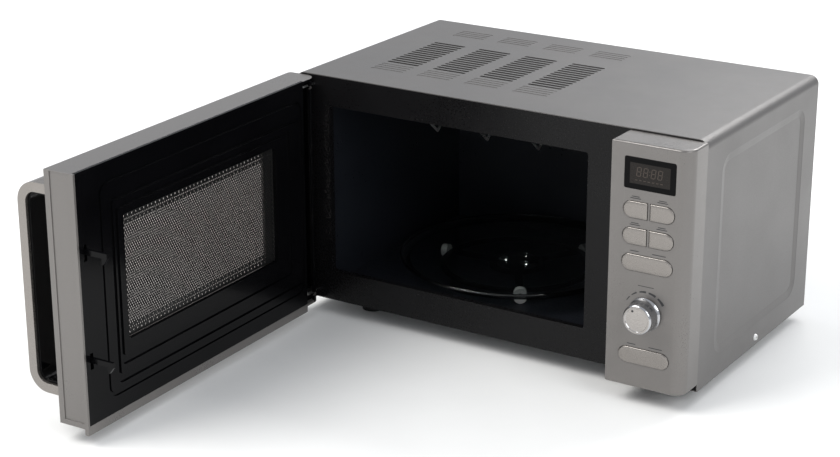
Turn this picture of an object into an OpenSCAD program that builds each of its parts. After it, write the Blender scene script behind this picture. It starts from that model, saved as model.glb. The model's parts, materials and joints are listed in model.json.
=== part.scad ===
// Countertop microwave oven with a side-hinged door, a turntable and a grill.
// The origin is on the worktop, under the middle of the cabinet. +Z is up,
// +Y runs from the front to the back and +X runs to the right along the front.
// Modules draw in cabinet coordinates: y = 0 at the front plate, z = 0 at the
// bottom edge of the outer cover. at_cabinet() moves them into the frame above.

/* [Cabinet] */
// Width of the outer cover
cover_w = 452; // [377:1:543]
// Depth of the outer cover from its front edge to its back edge
cover_d = 260; // [217:1:312]
// Height of the outer cover above its bottom edge
cover_h = 245; // [204:1:294]
// Radius of the bend between the top and each side
cover_r = 9; // [4:0.5:14]
// Thickness of the sheet metal
sheet_t = 0.8; // [0.7:0.1:1.2]
// Width of the lips folded in along the bottom edges of the cover
cover_lip = 10; // [6:1:14]
// Height of the feet below the cover
foot_h = 13; // [11:0.5:15.5]
// Radius of each foot where it meets the worktop
foot_r = 11; // [9:0.5:14]
// Distance from a side of the cover to the middle of a foot
foot_inset_x = 61; // [50:1:70]
// Distance from the front or back of the cover to the middle of a foot
foot_inset_y = 42; // [34:1:48]

/* [Side pockets] */
// Depth of the pocket pressed into each side
pocket_depth = 1.5; // [0.8:0.1:2]
// Distance from the front edge to the pocket
pocket_front = 35; // [28:1:42]
// Distance from the back edge to the pocket
pocket_back = 32; // [26:1:38]
// Distance from the bottom edge to the pocket
pocket_bottom = 24; // [20:1:28]
// Distance from the top to the pocket
pocket_top = 25; // [20:1:30]
// Corner radius of the pocket
pocket_r = 16; // [8:1:24]

/* [Top vents] */
// Number of groups of slots across the top
vent_groups = 4; // [2:1:4]
// Number of open slots in a group
vent_slots = 13; // [9:1:14]
// Number of closed grooves in front of and behind each group
vent_grooves = 4; // [2:1:4]
// Length of a slot
vent_w = 37.7; // [30:0.1:45]
// Distance from one group to the next
vent_step = 54.9; // [50:0.1:60]
// Distance from one slot to the next
slot_step = 7.5; // [6.2:0.1:7.7]
// Width of a slot
slot_w = 4.2; // [3:0.1:4.5]
// Distance from the left side of the cover to the first group
vent_left = 56.6; // [45:0.1:65]
// Distance from the front edge to the first open slot
vent_front = 80.5; // [74:0.1:84]
// Distance from the front edge to the first groove
groove_front = 50; // [40:0.1:52]
// Distance from the last open slot to the grooves behind it
groove_behind = 37.5; // [16:0.5:40]
// Distance from one groove to the next
groove_step = 6.6; // [5.5:0.1:7]
// Depth of a groove
groove_depth = 0.3; // [0.1:0.05:0.4]

/* [Oven cavity] */
// Distance from the left side of the cover to the cavity
cavity_left = 37; // [30:1:44]
// Width of the component bay, from the cavity to the right side of the cover
bay_w = 118.4; // [116:0.1:135]
// Height of the cavity floor above the bottom edge of the cover
floor_z = 24; // [22:0.5:28]
// Distance from the cavity ceiling to the top of the cover
ceiling_gap = 25; // [20:1:30]
// Distance from the cavity's back wall to the back edge of the cover
cavity_back = 5.6; // [5:0.1:8]
// Width of the front plate that shows inside the left and right cavity walls
jamb = 2; // [1:0.1:4]
// Height of the opening's sill above the bottom edge of the cover
sill_z = 38; // [34:1:40]
// Distance from the opening's top to the top of the cover
lintel = 31; // [28:1:36]
// Corner radius of the opening
open_r = 2; // [1:0.5:6]
// Height of the front plate's bottom edge
plate_bottom = 6; // [5:0.5:8]

/* [Turntable] */
// Clearance between the glass tray and the nearest cavity wall
glass_gap = 4.3; // [3:0.1:8]
// Thickness of the glass
glass_t = 4; // [3:0.5:5]
// Height of the tray's rim above its underside
rim_h = 9.3; // [7:0.1:12]
// Radius of a roller
roller_r = 6.7; // [5.5:0.1:7.5]
// Width of a roller
roller_w = 7; // [5:0.5:8]
// Clearance above and below a roller
roller_gap = 0.3; // [0.3:0.05:0.5]
// Distance from the tray's rim to the rollers
roller_inset = 37.5; // [24:0.5:42]
// Radius of the pin that carries a roller
roller_pin_r = 1.5; // [1.2:0.1:2]
// Thickness of the roller ring
ring_t = 3.2; // [2.5:0.1:4]
// Radius of the motor shaft under the tray
drive_r = 3.5; // [3:0.1:5]
// Radius of the turntable motor
table_motor_r = 24.5; // [20:0.5:28]

/* [Door] */
// Angle that the door stands open at rest
door_open = 88.7; // [0:0.1:92]
// Depth of the closed door in front of the cabinet
front_depth = 34; // [30:0.5:40]
// Gap between the closed door and the front plate
door_gap = 1.3; // [1:0.1:2]
// Height of the door's bottom edge
door_bottom = 4; // [2:0.5:6]
// Distance from the door's top to the top of the cover
door_top = 1.8; // [1:0.1:3]
// Gap between the door and the control panel
split_gap = 1.5; // [1:0.1:3]
// Thickness of the door frame's walls
frame_t = 2.5; // [2:0.1:3]
// Distance from the left side of the cover to the hinge axis
hinge_x = 13; // [13:0.1:16]
// Distance from the front plate to the hinge axis
hinge_y = 13.5; // [13:0.1:14]
// Radius of the hinge pins
hinge_pin_r = 2.5; // [2:0.1:3]
// Radial running clearance of pins and shafts
run_gap = 0.06; // [0.02:0.01:0.1]
// Height of the silver lip below the door's bottom edge
lip_drop = 6; // [4:0.5:6]
// Width of the frame around the front window, at the hinge side
window_hinge = 56; // [50:1:60]
// Width of the frame around the front window, at the handle side
window_free = 62; // [60:1:66]
// Width of the frame above the front window
window_top = 44; // [36:1:50]
// Width of the frame below the front window
window_bottom = 50; // [44:1:56]
// Thickness of the front glass
pane_t = 3; // [2.5:0.5:4]
// Perforated screen: distance from the door's hinge end
screen_hinge = 73.5; // [70:0.5:82]
// Perforated screen: distance from the door's free end
screen_free = 63; // [55:0.5:66]
// Perforated screen: distance from the door's top edge
screen_top = 54.5; // [48:0.5:60]
// Perforated screen: distance from the door's bottom edge
screen_bottom = 65.5; // [62:0.5:76]

/* [Handle] */
// Distance from the door face to the front of the handle
handle_out = 36; // [32:0.5:42]
// Width of the handle along the door
handle_w = 34; // [28:1:38]
// Distance from the door's free end to the handle
handle_inset = 4; // [3:0.5:8]
// Distance from the door's top to the handle
handle_top = 16; // [12:1:24]
// Distance from the door's bottom to the handle
handle_bottom = 24; // [18:1:30]
// Thickness of the handle's grip
grip_t = 9; // [7:0.5:11]
// Radius of the handle's outer corners
handle_r = 20; // [14:1:22]
// Thickness of the black liner inside the handle
liner_t = 2.5; // [2:0.1:3]

/* [Latch] */
// Distance from the door's free end to the hooks
hook_inset = 8.7; // [8:0.1:10]
// Thickness of a hook
hook_t = 3; // [2.5:0.1:3.5]
// Length of a hook behind the door
hook_len = 25; // [22:0.5:27]
// Height of the upper hook
hook_upper_z = 170.5; // [140:0.5:176]
// Height of the lower hook
hook_lower_z = 68.5; // [60:0.5:76]
// Upward travel that frees the hooks
hook_travel = 3; // [2.5:0.1:3.5]

/* [Control panel] */
// Width of the control panel
panel_w = 78.8; // [74:0.1:86]
// Wall thickness of the control panel
panel_t = 2.5; // [2:0.1:3]
// Radius of the control panel's outer vertical corner
panel_r = 13; // [8:0.5:16]
// Height of the control panel's bottom edge
panel_bottom = 6.6; // [6:0.1:8]
// Distance from the left edge of the panel to the display and buttons
face_left = 13.2; // [12:0.1:14]
// Width of the display and of a wide button
face_w = 51.2; // [46:0.1:51.5]
// Height of the display
display_h = 30; // [24:0.5:32]
// Height of a button
button_h = 15.8; // [12:0.1:16]
// Gap between the two buttons of a row
button_split = 2.6; // [2:0.1:3]
// Distance from the top of the cover to the middle of the display
display_z = 30.2; // [28:0.1:34]
// Distance from the top of the cover to the middle of the first row
row_z = 64.8; // [62:0.1:66]
// Distance from one row to the next
row_step = 25.3; // [24:0.1:26.5]
// Height of the middle of the knob
knob_z = 81.5; // [70:0.5:88]
// Height of the middle of the bottom button
start_z = 38.4; // [34:0.1:42]
// Distance that a button stands out of the panel
button_proud = 1.4; // [1:0.1:2]
// Travel of a button
button_travel = 1.2; // [0.8:0.1:1.5]
// Clearance around a button
button_gap = 0.35; // [0.3:0.05:0.5]
// Radius of the knob's skirt
knob_r = 16.4; // [14:0.1:18]
// Radius of the knob's cap
cap_r = 14.5; // [12:0.1:15]
// Distance from the panel to the front of the knob
knob_out = 18; // [14:0.5:20]
// Radius of the encoder shaft
encoder_r = 3; // [2.5:0.1:3.5]

/* [Cooling fan] */
// Radius of the fan
fan_r = 42; // [36:1:44]
// Number of fan blades
fan_blades = 5; // [4:1:7]
// Distance from the back edge of the cover to the fan's mid plane
fan_back = 46; // [44:1:50]
// Distance from the top of the cover to the fan's axis
fan_top = 77; // [74:1:84]
// Radius of the cord inlet's bushing
gland_r = 8; // [6:0.5:9]

/* [Hidden] */
$fn = 48;
eps = 0.01;

// Cabinet
side_x = cover_w / 2;
inner_x = side_x - sheet_t;
vents_y = (vent_slots - 1) * slot_step;

// Cavity: inner faces
cav_x0 = -side_x + cavity_left;
cav_x1 = side_x - bay_w;
cav_y1 = cover_d - cavity_back;
cav_z1 = cover_h - ceiling_gap;
cav_cx = (cav_x0 + cav_x1) / 2;
cav_cy = (sheet_t + cav_y1) / 2;
open_x0 = cav_x0 + jamb;
open_x1 = cav_x1 - jamb;
open_z1 = cover_h - lintel;

// Turntable
glass_r = min(cav_x1 - cav_x0, cav_y1 - sheet_t) / 2 - glass_gap;
axle_z = floor_z + roller_gap + roller_r;
glass_z = axle_z + roller_r + roller_gap;
track_r = glass_r - roller_inset;
roller_start = 182;

// Door, in closed coordinates
axis_x = -side_x + hinge_x;
axis_y = -hinge_y;
corner_r = hinge_y - door_gap;
door_x0 = axis_x - corner_r;
panel_x = side_x - panel_w;
door_x1 = panel_x - split_gap;
door_z1 = cover_h - door_top;
face_y = -front_depth;
back_y = -door_gap;
scr_x0 = door_x0 + screen_hinge;
scr_x1 = door_x1 - screen_free;
scr_z0 = door_bottom + screen_bottom;
scr_z1 = door_z1 - screen_top;
screen_y = -5.5;
choke_x0 = axis_x + 12;
choke_x1 = door_x1 - frame_t;
choke_z0 = door_bottom + frame_t;
choke_z1 = door_z1 - frame_t;
hook_x1 = door_x1 - hook_inset;
hook_drop = 8.5;
ledge_drop = hook_drop - hook_travel + 0.7;

// Hinge brackets
bracket_t = 2;
bracket_gap = 0.4;
bracket_top_z = door_z1 - 10;
bracket_low_z = door_bottom + 8;
pin_len = 5.6;
notch_half = 7;

// Control panel
face_x = panel_x + face_left;
face_cx = face_x + face_w / 2;
half_button = (face_w - button_split) / 2;
// The gaps between the display, the buttons and the knob are all drawn in by
// the same share when the cover is too low to hold them.
stack_gap = 6;
gap_above = display_z - display_h / 2;
gap_display = row_z - display_z - (display_h + button_h) / 2;
gap_rows = row_step - button_h;
gap_knob = knob_z - knob_r - start_z - button_h / 2;
gap_below = start_z - button_h / 2;
stack_free = cover_h - display_h - 4 * button_h - 2 * knob_r - stack_gap;
squeeze = min(1, stack_free / (gap_above + gap_display + 2 * gap_rows + gap_knob + gap_below));
display_cz = cover_h - squeeze * gap_above - display_h / 2;
row_1 = display_cz - squeeze * gap_display - (display_h + button_h) / 2;
row_2 = row_1 - squeeze * gap_rows - button_h;
row_3 = row_2 - squeeze * gap_rows - button_h;
start_cz = squeeze * gap_below + button_h / 2;
knob_cz = start_cz + button_h / 2 + squeeze * gap_knob + knob_r;
board_y = -20;
board_t = 1.6;
flange_y = face_y + panel_t + 0.3;
knob_gap = 0.6;

// Component bay
bay_x = cav_x1 + sheet_t;
mag_x = bay_x + 31;
mag_y = 110;
mag_z = cover_h - 86;
fan_x = bay_x + 58;
fan_z = cover_h - fan_top;
fan_y = cover_d - fan_back;
rear_y = cover_d - 2.2;
base_z = 2 * sheet_t;
cap_half_w = 26;
cap_half_h = 16;
cap_x = bay_x + 46;
cap_z = base_z + 3 + cap_half_h;
cap_y0 = cover_d - 92;
gland_x = side_x - 26;
gland_z = 62;

// ---------- helpers ----------

module at_cabinet() {
    translate([0, -cover_d / 2, foot_h]) children();
}

// Turns the closed door about its hinge axis to where it stands open
module at_door() {
    at_cabinet()
        translate([axis_x, axis_y, 0]) rotate([0, 0, -door_open])
            translate([-axis_x, -axis_y, 0]) children();
}

module box(x0, x1, y0, y1, z0, z1) {
    translate([x0, y0, z0]) cube([x1 - x0, y1 - y0, z1 - z0]);
}

// Rounded rectangle in the drawing plane
module rrect(x0, x1, z0, z1, r) {
    translate([x0 + r, z0]) square([x1 - x0 - 2 * r, z1 - z0]);
    translate([x0, z0 + r]) square([x1 - x0, z1 - z0 - 2 * r]);
    for (x = [x0 + r, x1 - r], z = [z0 + r, z1 - r]) translate([x, z]) circle(r);
}

// Extrudes a profile drawn in x and z from y0 back to y1
module along_y(y0, y1) {
    translate([0, y1, 0]) rotate([90, 0, 0]) linear_extrude(y1 - y0) children();
}

// Extrudes a profile drawn in y and z from x0 to x1
module along_x(x0, x1) {
    translate([x0, 0, 0]) rotate([90, 0, 90]) linear_extrude(x1 - x0) children();
}

module rod_x(x0, x1, y, z, r) {
    translate([x0, y, z]) rotate([0, 90, 0]) cylinder(h = x1 - x0, r = r);
}

module rod_y(y0, y1, x, z, r) {
    translate([x, y0, z]) rotate([-90, 0, 0]) cylinder(h = y1 - y0, r = r);
}

module rod_z(z0, z1, x, y, r) {
    translate([x, y, z0]) cylinder(h = z1 - z0, r = r);
}

// Pan-head screw with a cross recess; the head faces up
module screw(head_r, head_h, shank_r, shank_l) {
    difference() {
        union() {
            cylinder(h = head_h, r1 = head_r, r2 = head_r * 0.8);
            translate([0, 0, -shank_l]) cylinder(h = shank_l, r = shank_r);
        }
        for (a = [0, 90]) rotate([0, 0, a])
            translate([-head_r / 2, -0.5, head_h - 0.8]) cube([head_r, 1, 1]);
    }
}

// ---------- cabinet ----------

module cover_outline(inset) {
    r = cover_r - inset;
    w = side_x - inset;
    h = cover_h - inset;
    translate([-w, -inset]) square([2 * w, h - r + inset]);
    translate([-w + r, h - r - eps]) square([2 * (w - r), r + eps]);
    for (x = [-w + r, w - r]) translate([x, h - r]) circle(r);
}

module pocket_outline(grow) {
    rrect(pocket_front - grow, cover_d - pocket_back + grow,
        pocket_bottom - grow, cover_h - pocket_top + grow, pocket_r + grow);
}

module slot(x, y, w) {
    translate([x + slot_w / 2, y - slot_w / 2]) square([w - slot_w, slot_w]);
    for (e = [x + slot_w / 2, x + w - slot_w / 2]) translate([e, y]) circle(slot_w / 2, $fn = 20);
}

module vent_rows(y, count, step) {
    for (g = [0 : vent_groups - 1], k = [0 : count - 1])
        slot(-side_x + vent_left + g * vent_step, y + k * step, vent_w);
}

module outer_cover() {
    color("silver") difference() {
        union() {
            difference() {
                along_y(0, cover_d) cover_outline(0);
                along_y(-1, cover_d + 1) cover_outline(sheet_t);
            }
            // lip folded in along the back edge
            along_y(rear_y + sheet_t, rear_y + 2 * sheet_t) difference() {
                cover_outline(sheet_t / 2);
                rrect(-inner_x + cover_lip, inner_x - cover_lip, -30, cover_h - sheet_t - cover_lip, 4);
            }
            for (s = [0, 1]) mirror([s, 0, 0]) {
                along_x(inner_x - pocket_depth, inner_x + eps) pocket_outline(sheet_t);
                box(inner_x - cover_lip, inner_x + eps, 0, cover_d, 0, sheet_t);
            }
        }
        rear_screw_places() rod_y(-3, 3, 0, 0, 1.6);
        for (s = [0, 1]) mirror([s, 0, 0]) {
            along_x(side_x - pocket_depth, side_x + 1) pocket_outline(0);
            rod_x(inner_x - 1, side_x + 1, cover_d / 2 + 3.5, 8.5, 1.8);
        }
        translate([0, 0, cover_h - 2]) linear_extrude(4) vent_rows(vent_front, vent_slots, slot_step);
        translate([0, 0, cover_h - groove_depth]) linear_extrude(2) {
            vent_rows(groove_front, vent_grooves, groove_step);
            vent_rows(vent_front + vents_y + groove_behind, vent_grooves, groove_step);
        }
    }
}

base_front = 12;

module base_plate() {
    flange = 17;
    color("gainsboro") difference() {
        union() {
            box(-inner_x, inner_x, base_front, rear_y, sheet_t, base_z);
            for (s = [0, 1]) mirror([s, 0, 0])
                box(inner_x - sheet_t, inner_x, base_front, rear_y, sheet_t, flange);
            box(-inner_x, inner_x, base_front, base_front + sheet_t, sheet_t, plate_bottom);
        }
        for (s = [0, 1]) mirror([s, 0, 0])
            rod_x(inner_x - 5, side_x, cover_d / 2 + 3.5, 8.5, 1.4);
        foot_places() translate([0, 0, -1]) cylinder(h = 5, r = 2.6);
        translate([0, 0, -1]) linear_extrude(5)
            for (k = [0 : 7]) slot(bay_x + 8, cover_d - 40 - k * 7, 36);
        rod_z(-1, 5, cav_cx, cav_cy, table_motor_r + 3);
    }
}

module foot_places() {
    for (sx = [-1, 1], y = [foot_inset_y, cover_d - foot_inset_y])
        translate([sx * (side_x - foot_inset_x), y, 0]) children();
}

module feet() {
    color("dimgray") foot_places() {
        difference() {
            translate([0, 0, -foot_h]) cylinder(h = foot_h + sheet_t, r = foot_r);
            translate([0, 0, -foot_h - 1]) cylinder(h = 4, r = foot_r * 0.45);
        }
        cylinder(h = base_z + 2, r = 2.5);
        translate([0, 0, base_z]) cylinder(h = 2, r = 4.5);
    }
}

module rear_panel() {
    w = inner_x - 0.1;
    color("darkgray") difference() {
        union() {
            along_y(rear_y, rear_y + sheet_t)
                rrect(-w, w, base_z, cover_h - sheet_t - 0.1, cover_r - sheet_t - 0.1);
            along_y(rear_y - 1.5, rear_y) difference() {
                rrect(cav_x0 + 8, cav_x1 - 8, floor_z + 8, cav_z1 - 8, 20);
                rrect(cav_x0 + 12, cav_x1 - 12, floor_z + 12, cav_z1 - 12, 16);
            }
        }
        along_y(rear_y - 2, rear_y + 2) {
            for (i = [-4 : 4], k = [-4 : 4])
                if (norm([i * 8.6, k * 8.6]) < fan_r - 5) translate([fan_x + i * 8.6, fan_z + k * 8.6])
                    circle(2.8, $fn = 20);
            for (k = [0 : 8]) slot(-side_x + 15, cover_h - 60 - k * 9, cavity_left - 18);
            translate([gland_x, gland_z]) circle(gland_r + 0.1);
        }
        rear_screw_places() rod_y(-3, 3, 0, 0, 1.6);
    }
}

module rear_screw_places() {
    edge = sheet_t + cover_lip * 0.6;
    for (s = [-1, 1], z = [22, cover_h - 22])
        translate([s * (side_x - edge), rear_y + 2 * sheet_t, z]) children();
    translate([0, rear_y + 2 * sheet_t, cover_h - edge]) children();
}

module front_plate() {
    color("#202124") difference() {
        union() {
            along_y(0, sheet_t)
                rrect(-inner_x + 0.1, inner_x - 0.1, plate_bottom, cover_h - sheet_t - 0.1,
                    cover_r - sheet_t - 0.1);
            box(-inner_x + 1, inner_x - 1, sheet_t, base_front + sheet_t,
                plate_bottom, plate_bottom + sheet_t);
            // lining of the opening, folded back into the cavity
            along_y(sheet_t, 7) difference() {
                rrect(open_x0 - sheet_t, open_x1 + sheet_t, sill_z - sheet_t, open_z1 + sheet_t,
                      open_r + sheet_t);
                rrect(open_x0, open_x1, sill_z, open_z1, open_r);
            }
        }
        along_y(-1, 8) rrect(open_x0, open_x1, sill_z, open_z1, open_r);
        for (z = [hook_upper_z, hook_lower_z])
            along_y(-1, 8) rrect(hook_x1 - hook_t - 2.5, hook_x1 + 4, z - hook_drop - 2.5,
                z + 2.5 + hook_travel + 1.5, 1);
        along_y(-1, 3) rrect(panel_x + 8, side_x - 8, 40, cover_h - 14, 4);
        for (z = [bracket_top_z, bracket_low_z])
            box(axis_x - 6.1, axis_x + 6.1, -1, 3, z - 0.1, z + bracket_t + 0.1);
    }
}

module cavity_liner() {
    color("#2b2d31") difference() {
        box(cav_x0 - sheet_t, cav_x1 + sheet_t, sheet_t, cav_y1 + sheet_t,
            floor_z - sheet_t, cav_z1 + sheet_t);
        box(cav_x0, cav_x1, 0, cav_y1, floor_z, cav_z1);
        rod_z(floor_z - 3, floor_z + 3, cav_cx, cav_cy, drive_r + 3);
        // aperture of the waveguide
        box(cav_x1 - 2, cav_x1 + 3, mag_y - 38, mag_y + 38, mag_z - 20, mag_z + 20);
        // lamp light and exhaust holes
        for (i = [0 : 3], k = [0 : 3]) {
            rod_x(cav_x1 - 2, cav_x1 + 3, mag_y + 66 + i * 6, mag_z + 12 + k * 6, 1.5);
            rod_x(cav_x0 - 3, cav_x0 + 2, cav_y1 - 70 + i * 8, cav_z1 - 70 + k * 8, 1.5);
        }
        grill_posts() rod_z(-3, 3, 0, 0, 4.2);
    }
}

module waveguide_cover() {
    color("tan") along_x(cav_x1 - 0.6, cav_x1) rrect(mag_y - 44, mag_y + 44, mag_z - 27, mag_z + 27, 5);
}

module waveguide() {
    x0 = bay_x;
    x1 = mag_x - 1;
    color("lightgray") difference() {
        union() {
            box(x0, x1, mag_y - 40, mag_y + 40, mag_z - 26, mag_z + 40);
            box(x0, x0 + 1, mag_y - 46, mag_y + 46, mag_z - 32, mag_z + 44);
        }
        box(x0 - 1, x1 - 1, mag_y - 39, mag_y + 39, mag_z - 25, mag_z + 39);
        rod_x(x1 - 3, x1 + 1, mag_y, mag_z, 12);
    }
}

// ---------- microwave supply ----------

module magnetron_yoke() {
    x1 = mag_x + 50;
    color("silver") difference() {
        box(mag_x - 1, x1, mag_y - 42, mag_y + 42, mag_z - 32, mag_z + 32);
        box(mag_x + 0.6, x1 - 1.6, mag_y - 50, mag_y + 50, mag_z - 30.4, mag_z + 30.4);
        rod_x(mag_x - 2, x1 + 1, mag_y, mag_z, 12);
    }
}

module magnetron_core() {
    color("darkgoldenrod") {
        rod_x(mag_x + 0.6, mag_x + 48.4, mag_y, mag_z, 19);
        for (k = [0 : 7])
            box(mag_x + 6 + k * 5, mag_x + 6.8 + k * 5, mag_y - 38, mag_y + 38, mag_z - 28, mag_z + 28);
        rod_x(mag_x - 14, mag_x + 1, mag_y, mag_z, 8);
        rod_x(mag_x - 22, mag_x - 14, mag_y, mag_z, 6.5);
    }
}

module magnetron_filter() {
    x0 = mag_x + 50;
    color("gainsboro") {
        box(x0, x0 + 14, mag_y - 24, mag_y + 24, mag_z - 20, mag_z + 20);
        box(x0 + 4, x0 + 10, mag_y - 40, mag_y - 24, mag_z - 6, mag_z + 6);
    }
}

trafo_y = 104;

module transformer_core() {
    x = bay_x + 57;
    color("slategray") difference() {
        union() {
            box(x - 30, x + 30, trafo_y - 44, trafo_y + 44, base_z + 2, base_z + 70);
            box(x - 34, x + 34, trafo_y - 50, trafo_y + 50, base_z, base_z + 2);
        }
        for (s = [-1, 1]) translate([x, trafo_y + s * 22, 0])
            box(-40, 40, -8, 8, base_z + 18, base_z + 56);
        for (sx = [-1, 1], sy = [-1, 1]) rod_z(0, 8, x + sx * 28, trafo_y + sy * 47, 2);
    }
}

module transformer_windings() {
    x = bay_x + 57;
    color("sienna") difference() {
        box(x - 46, x + 46, trafo_y - 29.5, trafo_y + 29.5, base_z + 18.5, base_z + 55.5);
        box(x - 30.2, x + 30.2, trafo_y - 14.2, trafo_y + 14.2, base_z, base_z + 80);
        for (s = [-1, 1]) box(x - 30.2, x + 30.2, trafo_y + s * 34 - 4.3, trafo_y + s * 34 + 4.3,
            base_z, base_z + 80);
    }
}

module can_outline(grow) {
    r = cap_half_h + grow;
    translate([cap_x - cap_half_w + cap_half_h, cap_z - r]) square([2 * (cap_half_w - cap_half_h), 2 * r]);
    for (s = [-1, 1]) translate([cap_x + s * (cap_half_w - cap_half_h), cap_z]) circle(r);
}

module capacitor() {
    color("lightsteelblue") {
        along_y(cap_y0, cap_y0 + 76) can_outline(0);
        for (s = [-1, 1]) {
            rod_y(cap_y0 - 4, cap_y0, cap_x + s * 9, cap_z, 4);
            box(cap_x + s * 9 - 3, cap_x + s * 9 + 3, cap_y0 - 13, cap_y0 - 4, cap_z - 0.5, cap_z + 0.5);
        }
    }
}

module capacitor_clamp() {
    y0 = cap_y0 + 30;
    color("silver") difference() {
        union() {
            along_y(y0, y0 + 14) difference() {
                can_outline(1.2);
                can_outline(0);
                translate([cap_x - 60, -40]) square([120, base_z + 40]);
            }
            box(cap_x + cap_half_w, cap_x + cap_half_w + 16, y0, y0 + 14, base_z, base_z + 1.2);
            box(cap_x + cap_half_w, cap_x + cap_half_w + 1.2, y0, y0 + 14, base_z, cap_z);
        }
        rod_z(0, 8, cap_x + cap_half_w + 10, y0 + 7, 2);
        along_y(y0 - 1, y0 + 15) can_outline(0);
    }
}

module diode() {
    color("black") {
        rod_y(cap_y0 + 50, cap_y0 + 68, cap_x + cap_half_w + 10, base_z + 10, 4);
        box(cap_x + cap_half_w + 6, cap_x + cap_half_w + 14, cap_y0 + 52, cap_y0 + 66, base_z, base_z + 7.5);
    }
}

// ---------- cooling, light and grill ----------

module fan_shroud() {
    y0 = fan_y - 12;
    y1 = fan_y + 12;
    h = fan_r + 6;
    color("white") {
        difference() {
            union() {
                along_y(y1 - 2.5, y1) rrect(fan_x - h, fan_x + h, fan_z - h, fan_z + h, 8);
                rod_y(y0, y1, fan_x, fan_z, fan_r + 4);
            }
            rod_y(y0 - 1, y1 + 1, fan_x, fan_z, fan_r + 2);
        }
        for (sx = [-1, 1], sz = [-1, 1])
            rod_y(y1, rear_y, fan_x + sx * (h - 6), fan_z + sz * (h - 6), 3);
        // arms that carry the motor
        for (s = [-1, 1])
            box(fan_x + s * (fan_r + 1) - 3, fan_x + s * (fan_r + 1) + 3, y1, y1 + 4, fan_z - 6, fan_z + 6);
        for (s = [-1, 1]) box(fan_x + min(s * 24, s * (fan_r + 4)), fan_x + max(s * 24, s * (fan_r + 4)),
            y1 + 4, y1 + 6.5, fan_z - 5, fan_z + 5);
    }
}

module fan_motor() {
    y0 = fan_y + 18.5;
    color("gray") difference() {
        union() {
            box(fan_x - 30, fan_x + 30, y0, y0 + 14, fan_z - 16, fan_z + 34);
            box(fan_x - 15, fan_x + 15, y0 - 4, y0 + 18, fan_z + 22, fan_z + 40);
            box(fan_x - 6, fan_x + 6, y0 - 2.5, y0, fan_z - 22, fan_z + 16);
            rod_y(y0 - 2.5, y0 + 1, fan_x, fan_z, 8);
        }
        rod_y(y0 - 5, y0 + 12, fan_x, fan_z, 1.5 + run_gap);
    }
}

module fan_blade() {
    color("ivory") {
        rod_y(fan_y - 8, fan_y + 8, fan_x, fan_z, 9);
        rod_y(fan_y + 8, fan_y + 28, fan_x, fan_z, 1.5);
        for (k = [0 : fan_blades - 1]) translate([fan_x, fan_y, fan_z]) rotate([0, k * 360 / fan_blades, 0])
            translate([fan_r / 2 + 3, 0, 0]) rotate([35, 0, 0]) cube([fan_r - 8, 1.6, 22], center = true);
    }
}

module cavity_lamp() {
    y = mag_y + 75;
    z = mag_z + 21;
    color("ivory") {
        difference() {
            box(bay_x, bay_x + 2, y - 18, y + 14, z - 14, z + 14);
            rod_x(bay_x - 1, bay_x + 3, y, z, 11);
        }
        rod_x(bay_x + 20, bay_x + 34, y, z, 8);
        box(bay_x + 2, bay_x + 34, y - 12, y - 7, z - 8, z + 8);
        translate([bay_x + 11, y, z]) sphere(6.5);
        rod_x(bay_x + 11, bay_x + 20, y, z, 5);
    }
}

module thermal_cutouts() {
    color("burlywood") {
        rod_z(cav_z1 + sheet_t, cav_z1 + sheet_t + 9, cav_x1 - 30, cav_cy, 8);
        rod_z(mag_z + 32, mag_z + 41, mag_x + 25, mag_y, 8);
    }
}

grill_y = 50;
grill_step = 28;
grill_z = cav_z1 - 13;
grill_x0 = cav_x0 + 40;
grill_x1 = cav_x1 - 40;

module grill_posts() {
    for (x = [grill_x0, grill_x1], k = [0, 1])
        translate([x, grill_y + k * grill_step, cav_z1]) children();
}

module grill_tubes() {
    color("whitesmoke") for (k = [0, 1])
        rod_x(grill_x0 + 8, grill_x1 - 8, grill_y + k * grill_step, grill_z, 4.5);
}

module grill_holders() {
    color("lightgray") for (s = [0, 1], k = [0, 1]) {
        x = s == 0 ? grill_x0 : grill_x1;
        y = grill_y + k * grill_step;
        rod_z(grill_z - 7, cav_z1 + 12, x, y, 4);
        box(x - 8, x + 8, y - 7, y + 7, grill_z - 7, grill_z + 7);
    }
}

// Bent wires that hang under the tubes
module grill_guard() {
    drop = 34;
    half = 38;
    len = norm([half, drop - 1.5]);
    tilt = atan2(half, drop - 1.5);
    ym = grill_y + grill_step / 2;
    places = [grill_x0 + 50, (grill_x0 + grill_x1) / 2, grill_x1 - 50];
    color("silver") for (x = places) translate([x, ym, cav_z1 - drop]) {
        for (s = [-1, 1]) rotate([-s * tilt, 0, 0]) cylinder(h = len - 1, r = 1.3, $fn = 24);
        sphere(1.3, $fn = 24);
    }
}

// ---------- door interlock and turntable drive ----------

module interlock_bracket() {
    x0 = bay_x + 4;
    z0 = hook_lower_z - 21;
    z1 = hook_upper_z + 14;
    color("white") {
        box(x0, x0 + 2.5, 3, 33, z0, z1);
        box(x0, hook_x1 + 6, 30, 33, z0, z1);
        for (z = [hook_upper_z, hook_lower_z]) {
            // ledge that a hook drops behind
            box(x0, hook_x1 + 3, 8, 16, z - 17.5, z - ledge_drop);
            box(hook_x1 + 3, hook_x1 + 6, 8, 33, z - 17.5, z - ledge_drop);
        }
        for (z = [z0 + 3, z1 - 9]) box(x0, x0 + 14, sheet_t, 3, z, z + 6);
    }
}

module microswitches() {
    x0 = bay_x + 6.5;
    color("firebrick") for (z = [hook_upper_z - 4, hook_upper_z - 62, hook_lower_z + 4]) {
        difference() {
            box(x0, x0 + 10.3, 12, 27.9, z, z + 27.8);
            for (k = [0, 1]) rod_x(x0 - 1, x0 + 12, 15 + k * 10, z + 3 + k * 22, 1.55);
        }
        for (k = [0 : 1]) box(x0 + 3, x0 + 7, 5.5, 12, z + 4 + k * 16, z + 4.8 + k * 16);
    }
}

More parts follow.
